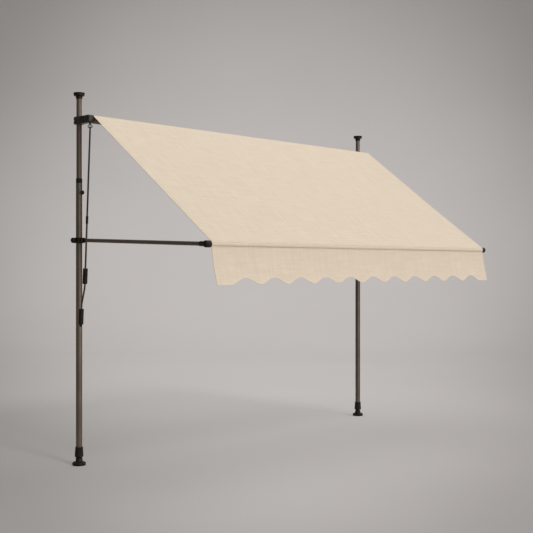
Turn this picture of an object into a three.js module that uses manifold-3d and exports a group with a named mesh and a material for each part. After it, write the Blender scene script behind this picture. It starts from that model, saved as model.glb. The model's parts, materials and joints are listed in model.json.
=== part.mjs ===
// Clamp awning: two telescopic poles braced between floor and ceiling carry a crank-driven
// cloth roller and two swinging arms with a front bar, a canopy and a scalloped valance.
// Millimetres, +Z up, front towards -Y, origin on the floor midway between the poles.
import * as THREE from "three";
import { mergeVertices } from "three/addons/utils/BufferGeometryUtils.js";
import Module from "manifold-3d";

const wasm = await Module();
wasm.setup();

// Overall sizes
const POLE_SPACING = 3000;
const CEILING_HEIGHT = 2500;
const CLOTH_INSET = 18;
const CLOTH_HALF_WIDTH = POLE_SPACING / 2 - CLOTH_INSET;

// Heights of the fittings on the poles
const ROLLER_DROP = 188;
const ROLLER_Z = CEILING_HEIGHT - ROLLER_DROP;
const COLLAR_SEAT_Z = 1894;
const POLE_OVERLAP = 444;
const ARM_Z = 1509;

// Clearances, and how far a cutting tool runs past a face
const GAP = 0.3;
const TUBE_PLAY = 0.4;
const OVERRUN = 1;

// Poles
const LOWER_TUBE_D = 42;
const UPPER_TUBE_D = 36;
const TUBE_WALL = 1.2;
const COLLAR_HEIGHT = 31;
const COLLAR_SPIGOT = 30;
const COLLAR_CHAMFER = 1.5;
const LOCK_KNOB_DROP = 65;
const LOCK_BOSS_D = 16;
const LOCK_BOSS_REACH = 8;
const CEILING_PAD_D = 76;
const CEILING_PAD_HEIGHT = 6;
const PAD_CHAMFER = 1.5;
const CAP_FLANGE_D = 72;
const CAP_FLANGE_HEIGHT = 15;
const CAP_FLANGE_FLARE = 3;
const CAP_NECK_WALL = 3.5;
const CAP_NECK_HEIGHT = 20;
const CAP_SOCKET_DEPTH = 23;

// Screw feet
const FOOT_D = 91;
const SOLE_INSET = 1;
const SOLE_HEIGHT = 6;
const FOOT_FLANGE_HEIGHT = 20;
const FOOT_RIM_HEIGHT = 9;
const FOOT_SHOULDER = 4;
const FOOT_HUB_D = 46;
const FOOT_HUB_TOP_Z = 51.5;
const SPINDLE_D = 20;
const SPINDLE_LENGTH = 285;
const SPINDLE_SEAT = 8;
const NUT_FOOT_Z = 56.5;
const NUT_HEIGHT = 66;
const NUT_WALL = 5;
const NUT_FLARE = 3;
const NUT_SOCKET = 47;
const NUT_RIBS = 14;
const NUT_RIB_DEPTH = 1.6;

// Hand knobs
const ARM_KNOB_D = 36;
const ARM_KNOB_LENGTH = 31;
const LOCK_KNOB_D = 29;
const LOCK_KNOB_LENGTH = 15;
const KNOB_SHANK_D = 8;
const KNOB_LOBES = 8;
const KNOB_LOBE_SHARE = 0.09;
const KNOB_NECK_SHARE = 0.6;
const KNOB_NECK_HEIGHT = 2;
const KNOB_CROWN_SHARE = 0.25;

// Roller and its brackets
const ROLLER_Y = -115;
const ROLLER_D = 54;
const ROLLER_WALL = 1.2;
const PLUG_FLANGE = 3.7;
const PLUG_SPIGOT = 45;
const PLUG_CHAMFER = 2;
const BRACKET_CLEARANCE = 3;
const BRACKET_HEIGHT = 50;
const CLAMP_WALL = 6;
const CLAMP_LUG = 10;
const CLAMP_CORNER = 6;
const CLAMP_SPLIT = 1;
const HOUSING_WIDTH = 38;
const HOUSING_WALL = 4;
const HOUSING_CORNER = 5;
const GEAR_ROOM = 2;
const COVER_THICKNESS = 3;
const COVER_INSET = 2;
const IDLER_PLATE = 10;
const IDLER_HEIGHT = 38;
const IDLER_PIN_D = 16;
const IDLER_BUSH_WALL = 2.5;

// Worm gear
const WHEEL_TEETH = 12;
const GEAR_MODULE = 2;
const WORM_PITCH_D = 12;
const WHEEL_FACE = 12;
const WORM_LENGTH = 26;
const GEAR_BACKLASH = 0.3;
const GEAR_DEDENDUM = 1.1;
const WORM_TOOTH = 2;
const WHEEL_TOOTH = 1.9;
const TOOTH_FLANK = 0.1;
const WORM_PHASE = 0.25;
const WHEEL_PHASE = 0.5;
const THREAD_RUN_OUT = 2;
const WORM_TAIL = 9;
const WORM_JOURNAL_D = 8;
const DRIVE_SHAFT_D = 16;
const DRIVE_HEX_D = 14;

// Crank
const EYE_DROP = 51;
const EYE_WIRE_D = 6;
const EYE_HOLE_WIDTH = 22;
const EYE_HOLE_HEIGHT = 13;
const EYE_STEM_WALL = 3;
const HOOK_WIRE_D = 7;
const HOOK_LEG = 13;
const HOOK_REST_GAP = 0.4;
const HOOK_TIP_DROP = 22;
const HOOK_BEND_R = 5;
const HOOK_FERRULE = 7;
const HOOK_KNEE = 11;
const HOOK_KNEE_DROP = 7;
const HOOK_SHANK = 26;
const CRANK_LEAN = 2.33;
const CRANK_FACING = -45.7;
const CRANK_ROD_D = 12;
const CRANK_ROD_WALL = 2;
const CRANK_ROD_TOP = 34;
const CRANK_JOINT = 620;
const SLEEVE_LENGTH = 50;
const SLEEVE_WALL = 2.2;
const GRIP_D = 30;
const GRIP_LENGTH = 104;
const GRIP_RINGS = 3;
const GRIP_RING_DEPTH = 1.2;
const GRIP_SHOULDER = 12;
const UPPER_GRIP_AT = 940;
const LOWER_GRIP_AT = 1204;
const CRANK_THROW = 95;
const CRANK_BEND_R = 22;
const GRIP_TO_BEND = 2;
const HANDLE_TAIL = 8;
const END_CAP_GAP = 1;
const END_CAP_LENGTH = 12;
const END_CAP_WALL = 2.5;
const END_CAP_CHAMFER = 2;

// Arms and front bar
const SLIDER_WALL = 9;
const SLIDER_HEIGHT = 36;
const SLIDER_CORNER = 9;
const PIVOT_REACH = 20;
const PIVOT_PIN_D = 10;
const PIN_HEAD = 2;
const EAR_MARGIN = 0.5;
const EAR_THICKNESS = 6;
const EAR_ROOT = 3;
const EAR_SINK = 4;
const TONGUE_THICKNESS = 17;
const TONGUE_INSET = 1;
const ARM_D = 25;
const ARM_WALL = 1.2;
const ARM_LENGTH = 1221;
const ARM_DROP = 2.06;
const ARM_TUBE_START = 36;
const ROOT_SPIGOT = 50;
const ROOT_SHOULDER = 8;
const BAR_D = 32;
const BAR_WALL = 1.2;
const ELBOW_WALL = 5;
const ELBOW_OUTER = 17;
const ELBOW_SOCKET = 42;
const ELBOW_SOCKET_WALL = 3;
const ELBOW_TO_CLOTH = 1;
const BAR_CAP_LENGTH = 9;
const BAR_CAP_INSET = 1;

// Cloth
const CLOTH_THICKNESS = 1.6;
const POCKET_WALL = 2.6;
const ROLLER_WRAP = 75;
const POCKET_WRAP = 18;
const VALANCE_DROP = 222;
const SCALLOP_PITCH = 248;
const SCALLOP_DEPTH = 40;
const SCALLOP_STEPS = 8;
const VALANCE_FLARE = 12;
const VALANCE_SEAM_ANGLE = 290;

// Smoothness of round shapes
const ROLLER_ROUND = 32;
const ROUND = 20;
const SMALL_ROUND = 12;
const CORNER_STEPS = 4;
const DEGREE = Math.PI / 180;

// Places that follow from the sizes
const CLAMP_HALF_DEPTH = UPPER_TUBE_D / 2 + CLAMP_WALL;
const CLAMP_HALF_WIDTH = UPPER_TUBE_D / 2 + CLAMP_LUG;
const SLIDER_HALF = LOWER_TUBE_D / 2 + SLIDER_WALL;
const PIVOT_Y = -SLIDER_HALF - PIVOT_REACH;
const EAR_R = ARM_D / 2 + EAR_MARGIN;
const ELBOW_D = BAR_D + 2 * ELBOW_WALL;
const POCKET_R = BAR_D / 2 + TUBE_PLAY + POCKET_WALL;
const NUT_TOP_Z = NUT_FOOT_Z + NUT_HEIGHT;
const NUT_SHOULDER_Z = NUT_TOP_Z - NUT_SOCKET;

// Bracket places across the pole, measured outward from the pole's axis
const BRACKET_INNER = BRACKET_CLEARANCE - CLOTH_INSET;
const HOUSING_OUTER = BRACKET_INNER + HOUSING_WIDTH;
const WHEEL_CENTRE = (BRACKET_INNER + HOUSING_WALL + HOUSING_OUTER) / 2;

// Worm's place, and the room for the gears measured towards the front
const WORM_X = -POLE_SPACING / 2 - WHEEL_CENTRE;
const WORM_Y = ROLLER_Y - (WHEEL_TEETH * GEAR_MODULE + WORM_PITCH_D) / 2;
const GEAR_REAR = -ROLLER_Y - ((WHEEL_TEETH + 2) * GEAR_MODULE) / 2 - GEAR_ROOM;
const GEAR_FRONT = -WORM_Y + WORM_PITCH_D / 2 + GEAR_MODULE + GEAR_ROOM;
const HOUSING_NOSE = GEAR_FRONT + HOUSING_WALL + ROLLER_Y;
const TOOTH_THICKNESS = 0.5 - GEAR_BACKLASH;

// Front bar's axis in the side view
const BAR_FRONT = -PIVOT_Y + ARM_LENGTH * Math.cos(ARM_DROP * DEGREE);
const BAR_UP = ARM_Z - ARM_LENGTH * Math.sin(ARM_DROP * DEGREE);

const SIDES = [
  { name: "left", outward: -1 },
  { name: "right", outward: 1 },
];

const materials = {
  metal: new THREE.MeshStandardMaterial({ color: 0x5a4f46, roughness: 0.42, metalness: 0.7 }),
  plastic: new THREE.MeshStandardMaterial({ color: 0x1e1b17, roughness: 0.5, metalness: 0 }),
  rubber: new THREE.MeshStandardMaterial({ color: 0x161513, roughness: 0.85, metalness: 0 }),
  cloth: new THREE.MeshStandardMaterial({ color: 0xded0bc, roughness: 0.9, metalness: 0 }),
  steel: new THREE.MeshStandardMaterial({ color: 0x8f8d88, roughness: 0.35, metalness: 0.9 }),
};

// Solids and booleans
function solidOf(geometry) {
  const bare = geometry.clone();
  bare.deleteAttribute("normal");
  bare.deleteAttribute("uv");
  const merged = mergeVertices(bare, 1e-4);
  const mesh = new wasm.Mesh({
    numProp: 3,
    vertProperties: merged.attributes.position.array,
    triVerts: new Uint32Array(merged.index.array),
  });
  return new wasm.Manifold(mesh);
}

function geometryOf(solid) {
  const mesh = solid.getMesh();
  const geometry = new THREE.BufferGeometry();
  geometry.setAttribute("position", new THREE.BufferAttribute(new Float32Array(mesh.vertProperties), 3));
  geometry.setIndex(new THREE.BufferAttribute(new Uint32Array(mesh.triVerts), 1));
  return geometry;
}

function join(...geometries) {
  return geometryOf(geometries.map(solidOf).reduce((a, b) => a.add(b)));
}

function cut(base, ...tools) {
  return geometryOf(tools.map(solidOf).reduce((a, b) => a.subtract(b), solidOf(base)));
}

// A profile of [radius, height] points turned about Z
function revolve(profile, segments = ROUND) {
  const points = profile.map(([r, z]) => new THREE.Vector2(r, z));
  return new THREE.LatheGeometry(points, segments).rotateX(Math.PI / 2);
}

function tube(diameter, wall, low, high, segments = ROUND) {
  const outer = diameter / 2;
  const inner = outer - wall;
  return revolve([[inner, low], [outer, low], [outer, high], [inner, high], [inner, low]], segments);
}

function rod(diameter, low, high, segments = ROUND) {
  const r = diameter / 2;
  return revolve([[0, low], [r, low], [r, high], [0, high]], segments);
}

// A solid about Z whose radius depends on the turn and the height
function shapedRod(radiusAt, low, high, segments, rings) {
  const profile = [[0, low]];
  for (let j = 0; j <= rings; j++) profile.push([1, low + ((high - low) * j) / rings]);
  profile.push([0, high]);
  const geometry = revolve(profile, segments);
  const p = geometry.attributes.position;
  for (let i = 0; i < p.count; i++) {
    const r = radiusAt(Math.atan2(p.getY(i), p.getX(i)), p.getZ(i));
    p.setXY(i, p.getX(i) * r, p.getY(i) * r);
  }
  return geometry;
}

// Turns a solid made along +Z so that it lies along +X or -Y
function alongX(geometry) {
  return geometry.rotateY(Math.PI / 2);
}

function alongFront(geometry) {
  return geometry.rotateX(Math.PI / 2);
}

function prism(shape, low, high, curveSegments = CORNER_STEPS) {
  const options = { depth: high - low, bevelEnabled: false, curveSegments };
  return new THREE.ExtrudeGeometry(shape, options).translate(0, 0, low);
}

// A side profile drawn in (front, up) and spread along X, where front is measured towards -Y
function sidePrism(shape, low, high, curveSegments = CORNER_STEPS) {
  const front = new THREE.Vector3(0, -1, 0);
  const up = new THREE.Vector3(0, 0, 1);
  const across = new THREE.Vector3(-1, 0, 0);
  const turn = new THREE.Matrix4().makeBasis(front, up, across);
  return prism(shape, -high, -low, curveSegments).applyMatrix4(turn);
}

function roundedRect(x0, y0, x1, y1, r) {
  const shape = new THREE.Shape();
  shape.absarc(x1 - r, y0 + r, r, -Math.PI / 2, 0);
  shape.absarc(x1 - r, y1 - r, r, 0, Math.PI / 2);
  shape.absarc(x0 + r, y1 - r, r, Math.PI / 2, Math.PI);
  shape.absarc(x0 + r, y0 + r, r, Math.PI, 1.5 * Math.PI);
  shape.closePath();
  return shape;
}

// A round outline with ribs all round, as on a hand nut or a knob
function ribbedOutline(radius, ribs, depth) {
  const points = [];
  const steps = ribs * 4;
  for (let i = 0; i < steps; i++) {
    const angle = (i / steps) * 2 * Math.PI;
    const r = i % 4 < 2 ? radius : radius - depth;
    points.push(new THREE.Vector2(r * Math.cos(angle), r * Math.sin(angle)));
  }
  return new THREE.Shape(points);
}

// Narrows or widens a solid along Z by a scale that changes from low to high
function tapered(geometry, low, high, lowScale, highScale) {
  const p = geometry.attributes.position;
  for (let i = 0; i < p.count; i++) {
    const share = (p.getZ(i) - low) / (high - low);
    const scale = lowScale + (highScale - lowScale) * share;
    p.setXY(i, p.getX(i) * scale, p.getY(i) * scale);
  }
  return geometry;
}

const awning = new THREE.Group();

function add(parent, name, geometry, material) {
  const mesh = new THREE.Mesh(geometry, materials[material]);
  mesh.name = name;
  parent.add(mesh);
  return mesh;
}

function addGroup(parent, x, y, z) {
  const group = new THREE.Group();
  group.position.set(x, y, z);
  parent.add(group);
  return group;
}

// Screw foot: sole, base, spindle and hand nut
function addFoot(pole, side) {
  const baseZ = SOLE_HEIGHT + GAP;
  const seatZ = baseZ + SPINDLE_SEAT;
  const bore = SPINDLE_D / 2 + GAP;
  add(pole, `${side}_foot_sole`, footSole(), "rubber");
  add(pole, `${side}_foot_base`, footBase(baseZ, seatZ, bore), "plastic");
  const spindle = rod(SPINDLE_D, seatZ + GAP, seatZ + GAP + SPINDLE_LENGTH);
  add(pole, `${side}_foot_spindle`, spindle, "steel");
  add(pole, `${side}_foot_nut`, footNut(bore), "plastic");
}

function footSole() {
  const r = FOOT_D / 2 - SOLE_INSET;
  return revolve([[0, 0], [r - PAD_CHAMFER, 0], [r, PAD_CHAMFER], [r, SOLE_HEIGHT], [0, SOLE_HEIGHT]]);
}

function footBase(low, seat, bore) {
  const rim = FOOT_D / 2;
  const hub = FOOT_HUB_D / 2;
  const flange = low + FOOT_FLANGE_HEIGHT;
  const shoulder = low + FOOT_RIM_HEIGHT;
  return revolve([
    [0, low], [rim, low], [rim, shoulder], [rim - FOOT_SHOULDER, shoulder + FOOT_SHOULDER],
    [hub + FOOT_SHOULDER, flange], [hub, flange + FOOT_SHOULDER], [hub, FOOT_HUB_TOP_Z],
    [bore, FOOT_HUB_TOP_Z], [bore, seat], [0, seat],
  ]);
}

function footNut(bore) {
  const topR = LOWER_TUBE_D / 2 + NUT_WALL;
  const footR = topR + NUT_FLARE;
  const outline = ribbedOutline(footR, NUT_RIBS, NUT_RIB_DEPTH);
  const body = tapered(prism(outline, NUT_FOOT_Z, NUT_TOP_Z), NUT_FOOT_Z, NUT_TOP_Z, 1, topR / footR);
  const socket = rod(LOWER_TUBE_D + 2 * TUBE_PLAY, NUT_SHOULDER_Z, NUT_TOP_Z + OVERRUN);
  const thread = rod(2 * bore, NUT_FOOT_Z - OVERRUN, NUT_SHOULDER_Z + OVERRUN);
  return cut(body, socket, thread);
}

// Lower tube with its plastic collar and the hand screw that locks the upper tube
function addLowerPole(pole, side) {
  const knobZ = COLLAR_SEAT_Z - LOCK_KNOB_DROP;
  const bossEnd = LOWER_TUBE_D / 2 + LOCK_BOSS_REACH;
  add(pole, `${side}_lower_tube`, lowerTube(knobZ, bossEnd), "metal");
  add(pole, `${side}_pole_collar`, collar(), "plastic");
  const shape = handKnob(LOCK_KNOB_D, LOCK_KNOB_LENGTH, UPPER_TUBE_D / 2 + GAP, bossEnd + GAP);
  const knob = add(pole, `${side}_lock_knob`, shape, "plastic");
  knob.rotation.x = Math.PI / 2;
  knob.position.z = knobZ;
}

function lowerTube(knobZ, bossEnd) {
  const shell = tube(LOWER_TUBE_D, TUBE_WALL, NUT_SHOULDER_Z + GAP, COLLAR_SEAT_Z - GAP);
  const boss = alongFront(rod(LOCK_BOSS_D, (LOWER_TUBE_D - TUBE_WALL) / 2, bossEnd, SMALL_ROUND));
  const bore = alongFront(rod(KNOB_SHANK_D + 2 * GAP, UPPER_TUBE_D / 2, bossEnd + OVERRUN, SMALL_ROUND));
  return cut(join(shell, boss.translate(0, 0, knobZ)), bore.translate(0, 0, knobZ));
}

function collar() {
  const bore = UPPER_TUBE_D / 2 + TUBE_PLAY;
  const outer = LOWER_TUBE_D / 2;
  const spigot = outer - TUBE_WALL - GAP;
  const low = COLLAR_SEAT_Z - COLLAR_SPIGOT;
  const top = COLLAR_SEAT_Z + COLLAR_HEIGHT;
  return revolve([
    [bore, low], [spigot, low], [spigot, COLLAR_SEAT_Z], [outer, COLLAR_SEAT_Z],
    [outer, top - COLLAR_CHAMFER], [outer - COLLAR_CHAMFER, top], [bore, top], [bore, low],
  ]);
}

// Lobed hand knob along +Z with its screw, from the screw's tip to the domed end
function handKnob(diameter, length, tip, seat) {
  const r = diameter / 2;
  const end = seat + length;
  const crownHeight = length * KNOB_CROWN_SHARE;
  const gripEnd = end - crownHeight;
  const crownR = r * (1 - KNOB_LOBE_SHARE);
  const outline = ribbedOutline(r, KNOB_LOBES, r * KNOB_LOBE_SHARE);
  const lobes = prism(outline, seat + KNOB_NECK_HEIGHT, gripEnd);
  const crown = revolve([
    [0, gripEnd - OVERRUN], [crownR, gripEnd - OVERRUN], [crownR, gripEnd + crownHeight / 3],
    [crownR * 0.75, end - crownHeight / 6], [0, end],
  ], SMALL_ROUND);
  const neck = rod(diameter * KNOB_NECK_SHARE, seat, seat + KNOB_NECK_HEIGHT + OVERRUN, SMALL_ROUND);
  const screw = rod(KNOB_SHANK_D, tip, seat + OVERRUN, SMALL_ROUND);
  return join(lobes, crown, neck, screw);
}

// Upper tube with the ceiling cap and its rubber pad
function addUpperPole(pole, side) {
  const padZ = CEILING_HEIGHT - CEILING_PAD_HEIGHT;
  const flangeZ = padZ - GAP - CAP_FLANGE_HEIGHT;
  const neckZ = flangeZ - CAP_NECK_HEIGHT;
  const socketTop = neckZ + CAP_SOCKET_DEPTH;
  const tubeFoot = COLLAR_SEAT_Z - POLE_OVERLAP;
  add(pole, `${side}_ceiling_pad`, ceilingPad(padZ), "rubber");
  add(pole, `${side}_ceiling_cap`, ceilingCap(neckZ, socketTop, flangeZ), "plastic");
  add(pole, `${side}_upper_tube`, tube(UPPER_TUBE_D, TUBE_WALL, tubeFoot, socketTop - GAP), "metal");
}

function ceilingPad(low) {
  const r = CEILING_PAD_D / 2;
  const top = CEILING_HEIGHT;
  return revolve([
    [0, low], [r - PAD_CHAMFER, low], [r, low + PAD_CHAMFER],
    [r, top - PAD_CHAMFER], [r - PAD_CHAMFER, top], [0, top],
  ]);
}

function ceilingCap(low, socketTop, flange) {
  const bore = UPPER_TUBE_D / 2 + GAP;
  const neck = UPPER_TUBE_D / 2 + CAP_NECK_WALL;
  const r = CAP_FLANGE_D / 2;
  const top = flange + CAP_FLANGE_HEIGHT;
  return revolve([
    [0, socketTop], [bore, socketTop], [bore, low], [neck, low], [neck, flange - CAP_FLANGE_FLARE],
    [r - CAP_FLANGE_FLARE, flange], [r, flange + CAP_FLANGE_FLARE], [r, top], [0, top],
  ]);
}

// Clamp block round the upper tube, and a tool that takes away one side of it
function bracketClamp() {
  const outline = roundedRect(
    -CLAMP_HALF_WIDTH, -CLAMP_HALF_DEPTH, CLAMP_HALF_WIDTH, CLAMP_HALF_DEPTH, CLAMP_CORNER);
  return prism(outline, -BRACKET_HEIGHT / 2, BRACKET_HEIGHT / 2);
}

function clampHalf(way) {
  const size = 2 * CLAMP_HALF_WIDTH + BRACKET_HEIGHT;
  const away = new THREE.BoxGeometry(size, size, size).translate(0, (-way * (size - CLAMP_SPLIT)) / 2, 0);
  return cut(bracketClamp(), away);
}

function poleBore() {
  const reach = BRACKET_HEIGHT / 2 + OVERRUN;
  return rod(UPPER_TUBE_D + 2 * TUBE_PLAY, -reach, reach);
}

// Bracket arm: a bar from the clamp to a nose with rounded corners in front of the roller's axis
function bracketArm(halfHeight, nose, r, low, high) {
  const start = CLAMP_HALF_DEPTH - CLAMP_CORNER;
  const centre = -ROLLER_Y + nose - r;
  const shape = new THREE.Shape();
  shape.moveTo(start, -halfHeight);
  shape.lineTo(centre, -halfHeight);
  shape.absarc(centre, -halfHeight + r, r, -Math.PI / 2, 0);
  shape.absarc(centre, halfHeight - r, r, 0, Math.PI / 2);
  shape.lineTo(start, halfHeight);
  shape.closePath();
  return sidePrism(shape, low, high);
}

// Left bracket: the clamp and the gear housing, open on its outer side
function gearBracket() {
  const half = BRACKET_HEIGHT / 2;
  const wall = -BRACKET_INNER - HOUSING_WALL;
  const corner = HOUSING_CORNER + HOUSING_WALL;
  const arm = bracketArm(half, HOUSING_NOSE, corner, -HOUSING_OUTER, -BRACKET_INNER);
  const body = join(clampHalf(-1), arm);
  const roomHalf = half - HOUSING_WALL;
  const inside = roundedRect(GEAR_REAR, -roomHalf, GEAR_FRONT, roomHalf, HOUSING_CORNER);
  const cavity = sidePrism(inside, -HOUSING_OUTER - OVERRUN, wall);
  const driveBore = alongX(rod(DRIVE_SHAFT_D + 2 * GAP, wall - OVERRUN, -BRACKET_INNER + OVERRUN));
  const wormBore = rod(WORM_JOURNAL_D + 2 * GAP, -half - OVERRUN, half - HOUSING_WALL / 2, SMALL_ROUND);
  driveBore.translate(0, ROLLER_Y, 0);
  wormBore.translate(-WHEEL_CENTRE, WORM_Y, 0);
  return cut(body, poleBore(), cavity, driveBore, wormBore);
}

function gearCover() {
  const half = BRACKET_HEIGHT / 2 - COVER_INSET;
  const rear = GEAR_REAR - HOUSING_WALL;
  const shape = roundedRect(rear, -half, GEAR_FRONT + COVER_INSET, half, HOUSING_CORNER + COVER_INSET);
  return sidePrism(shape, -HOUSING_OUTER - GAP - COVER_THICKNESS, -HOUSING_OUTER - GAP);
}

// Right bracket: the clamp and a slim plate with the idler's bush
const BUSH_D = IDLER_PIN_D + 2 * GAP + 2 * IDLER_BUSH_WALL;

function idlerBracket() {
  const half = IDLER_HEIGHT / 2;
  const outer = BRACKET_INNER + IDLER_PLATE;
  const body = join(clampHalf(-1), bracketArm(half, half, half - OVERRUN, BRACKET_INNER, outer));
  const bushBore = alongX(rod(BUSH_D + 2 * GAP, BRACKET_INNER - OVERRUN, outer + OVERRUN));
  return cut(body, bushBore.translate(0, ROLLER_Y, 0), poleBore());
}

function idlerBush() {
  const ring = tube(BUSH_D, IDLER_BUSH_WALL, BRACKET_INNER, BRACKET_INNER + IDLER_PLATE);
  return alongX(ring).translate(0, ROLLER_Y, 0);
}

function addBrackets(pole, side) {
  const group = addGroup(pole, 0, 0, ROLLER_Z);
  const isLeft = side === "left";
  add(group, `${side}_roller_bracket`, isLeft ? gearBracket() : idlerBracket(), "plastic");
  add(group, `${side}_bracket_strap`, cut(clampHalf(1), poleBore()), "plastic");
  if (isLeft) add(group, "gear_cover", gearCover(), "plastic");
  else add(group, "idler_bush", idlerBush(), "plastic");
}

// Height of a tooth at a place along the pitch, from 0 at its root to 1 at its tip
function toothHeight(place) {
  const fromMiddle = Math.abs(place - Math.round(place));
  const share = ((TOOTH_THICKNESS + TOOTH_FLANK) / 2 - fromMiddle) / TOOTH_FLANK;
  return THREE.MathUtils.clamp(share, 0, 1);
}

// Single-start worm on a plain shaft that runs down through the housing to the crank eye
function wormShaft() {
  const root = WORM_PITCH_D / 2 - GEAR_DEDENDUM * GEAR_MODULE;
  const lead = Math.PI * GEAR_MODULE;
  const half = WORM_LENGTH / 2;
  const radiusAt = (angle, z) => {
    const place = z / lead - angle / (2 * Math.PI) + WORM_PHASE;
    const fade = THREE.MathUtils.clamp((half - Math.abs(z)) / THREAD_RUN_OUT, 0, 1);
    return root + WORM_TOOTH * GEAR_MODULE * toothHeight(place) * fade;
  };
  const thread = shapedRod(radiusAt, -half, half, SMALL_ROUND, 26);
  const top = BRACKET_HEIGHT / 2 - HOUSING_WALL / 2 - GAP;
  const foot = -BRACKET_HEIGHT / 2 - WORM_TAIL;
  const journal = rod(WORM_JOURNAL_D, half - OVERRUN, top, SMALL_ROUND);
  const shaft = rod(WORM_JOURNAL_D, foot, -half + OVERRUN, SMALL_ROUND);
  return join(thread, journal, shaft);
}

// Worm wheel on its drive shaft, made along +Z
function wormWheel() {
  const root = (WHEEL_TEETH * GEAR_MODULE) / 2 - GEAR_DEDENDUM * GEAR_MODULE;
  const pitch = Math.PI * GEAR_MODULE;
  const lead = GEAR_MODULE / WORM_PITCH_D;
  const half = WHEEL_FACE / 2;
  const radiusAt = (angle, z) => {
    const place = (angle * WHEEL_TEETH) / (2 * Math.PI) - (z * lead) / pitch + WHEEL_PHASE;
    return root + WHEEL_TOOTH * GEAR_MODULE * toothHeight(place);
  };
  const teeth = shapedRod(radiusAt, -half, half, WHEEL_TEETH * 7, 2);
  const wallFace = WHEEL_CENTRE - BRACKET_INNER;
  const shoulder = rod(DRIVE_SHAFT_D, half - OVERRUN, wallFace + BRACKET_CLEARANCE / 2, SMALL_ROUND);
  const hex = rod(DRIVE_HEX_D, wallFace, wallFace + BRACKET_CLEARANCE + PLUG_SPIGOT, 6);
  const stub = rod(WORM_JOURNAL_D, WHEEL_CENTRE - HOUSING_OUTER + GAP, -half + OVERRUN, SMALL_ROUND);
  return join(teeth, shoulder, hex, stub);
}

// Roller tube with its two end plugs and the worm wheel that turns it
function addRoller() {
  const group = addGroup(awning, 0, ROLLER_Y, ROLLER_Z);
  const tubeEnd = CLOTH_HALF_WIDTH - PLUG_FLANGE - GAP;
  const shell = tube(ROLLER_D, ROLLER_WALL, -tubeEnd, tubeEnd, ROLLER_ROUND);
  add(group, "roller_tube", alongX(shell), "metal");
  const hexHole = rod(DRIVE_HEX_D + 2 * GAP, -OVERRUN, PLUG_FLANGE + PLUG_SPIGOT + OVERRUN, 6);
  const drive = alongX(cut(rollerPlug(), hexHole)).translate(-CLOTH_HALF_WIDTH, 0, 0);
  add(group, "roller_drive_plug", drive, "plastic");
  const pin = rod(IDLER_PIN_D, -BRACKET_CLEARANCE - IDLER_PLATE, OVERRUN);
  const idler = alongX(join(rollerPlug(), pin)).rotateZ(Math.PI).translate(CLOTH_HALF_WIDTH, 0, 0);
  add(group, "roller_idler_plug", idler, "plastic");
  const wheel = add(group, "worm_wheel", wormWheel(), "steel");
  wheel.rotation.y = Math.PI / 2;
  wheel.position.x = WORM_X;
}

function rollerPlug() {
  const flange = ROLLER_D / 2;
  const spigot = flange - ROLLER_WALL - GAP;
  const end = PLUG_FLANGE + PLUG_SPIGOT;
  return revolve([
    [0, 0], [flange, 0], [flange, PLUG_FLANGE], [spigot, PLUG_FLANGE],
    [spigot, end - PLUG_CHAMFER], [spigot - PLUG_CHAMFER, end], [0, end],
  ]);
}

// Worm shaft and the oval eye that takes the crank's hook
function addWorm() {
  const group = addGroup(awning, WORM_X, WORM_Y, ROLLER_Z);
  add(group, "worm_shaft", wormShaft(), "steel");
  const eye = add(group, "crank_eye", crankEye(), "steel");
  eye.position.z = -EYE_DROP;
  eye.rotation.z = CRANK_FACING * DEGREE;
}

function crankEye() {
  const wire = EYE_WIRE_D / 2;
  const ring = ovalRing(EYE_HOLE_WIDTH / 2 + wire, EYE_HOLE_HEIGHT / 2 + wire, wire);
  const stemTop = EYE_DROP - BRACKET_HEIGHT / 2 - GAP;
  const stem = rod(WORM_JOURNAL_D + 2 * EYE_STEM_WALL, EYE_HOLE_HEIGHT / 2 + wire, stemTop, SMALL_ROUND);
  const socketFoot = stemTop - WORM_TAIL - GAP;
  const socket = rod(WORM_JOURNAL_D + 2 * GAP, socketFoot, stemTop + OVERRUN, SMALL_ROUND);
  return cut(join(ring, stem), socket);
}

// An oval ring of round wire standing in the XZ plane
function ovalRing(halfWidth, halfHeight, wire) {
  const outline = new THREE.EllipseCurve(0, 0, halfWidth, halfHeight).getPoints(ROUND).slice(1);
  const path = new THREE.CatmullRomCurve3(outline.map(({ x, y }) => new THREE.Vector3(x, 0, y)), true);
  return new THREE.TubeGeometry(path, ROUND, wire, 6, true);
}

// A path that is sampled at its listed points only
class PointPath extends THREE.Curve {
  constructor(points) {
    super();
    this.points = points;
  }

  getPoint(t) {
    const place = t * (this.points.length - 1);
    const index = Math.min(Math.floor(place), this.points.length - 2);
    return this.points[index].clone().lerp(this.points[index + 1], place - index);
  }

  getUtoTmapping(u) {
    return u;
  }
}

// Straight runs between the given corners, each corner rounded by a short curve
function roundedPath(corners, cornerR) {
  const points = [corners[0]];
  for (let i = 1; i < corners.length - 1; i++) {
    const corner = corners[i];
    const before = corner.clone().add(corners[i - 1].clone().sub(corner).setLength(cornerR));
    const after = corner.clone().add(corners[i + 1].clone().sub(corner).setLength(cornerR));
    points.push(...new THREE.QuadraticBezierCurve3(before, corner, after).getPoints(CORNER_STEPS));
  }
  points.push(corners[corners.length - 1]);
  return new PointPath(points);
}

// Round bar bent along a path of straight runs, given as [across, up] corners
function bentRod(corners, diameter, cornerR, sides) {
  const path = roundedPath(corners.map(([y, z]) => new THREE.Vector3(0, y, z)), cornerR);
  const outline = [];
  for (let i = 0; i < sides; i++) {
    const angle = (i / sides) * 2 * Math.PI;
    outline.push(new THREE.Vector2(Math.cos(angle), Math.sin(angle)).multiplyScalar(diameter / 2));
  }
  const options = { steps: path.points.length - 1, extrudePath: path, bevelEnabled: false };
  return new THREE.ExtrudeGeometry(new THREE.Shape(outline), options);
}

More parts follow.
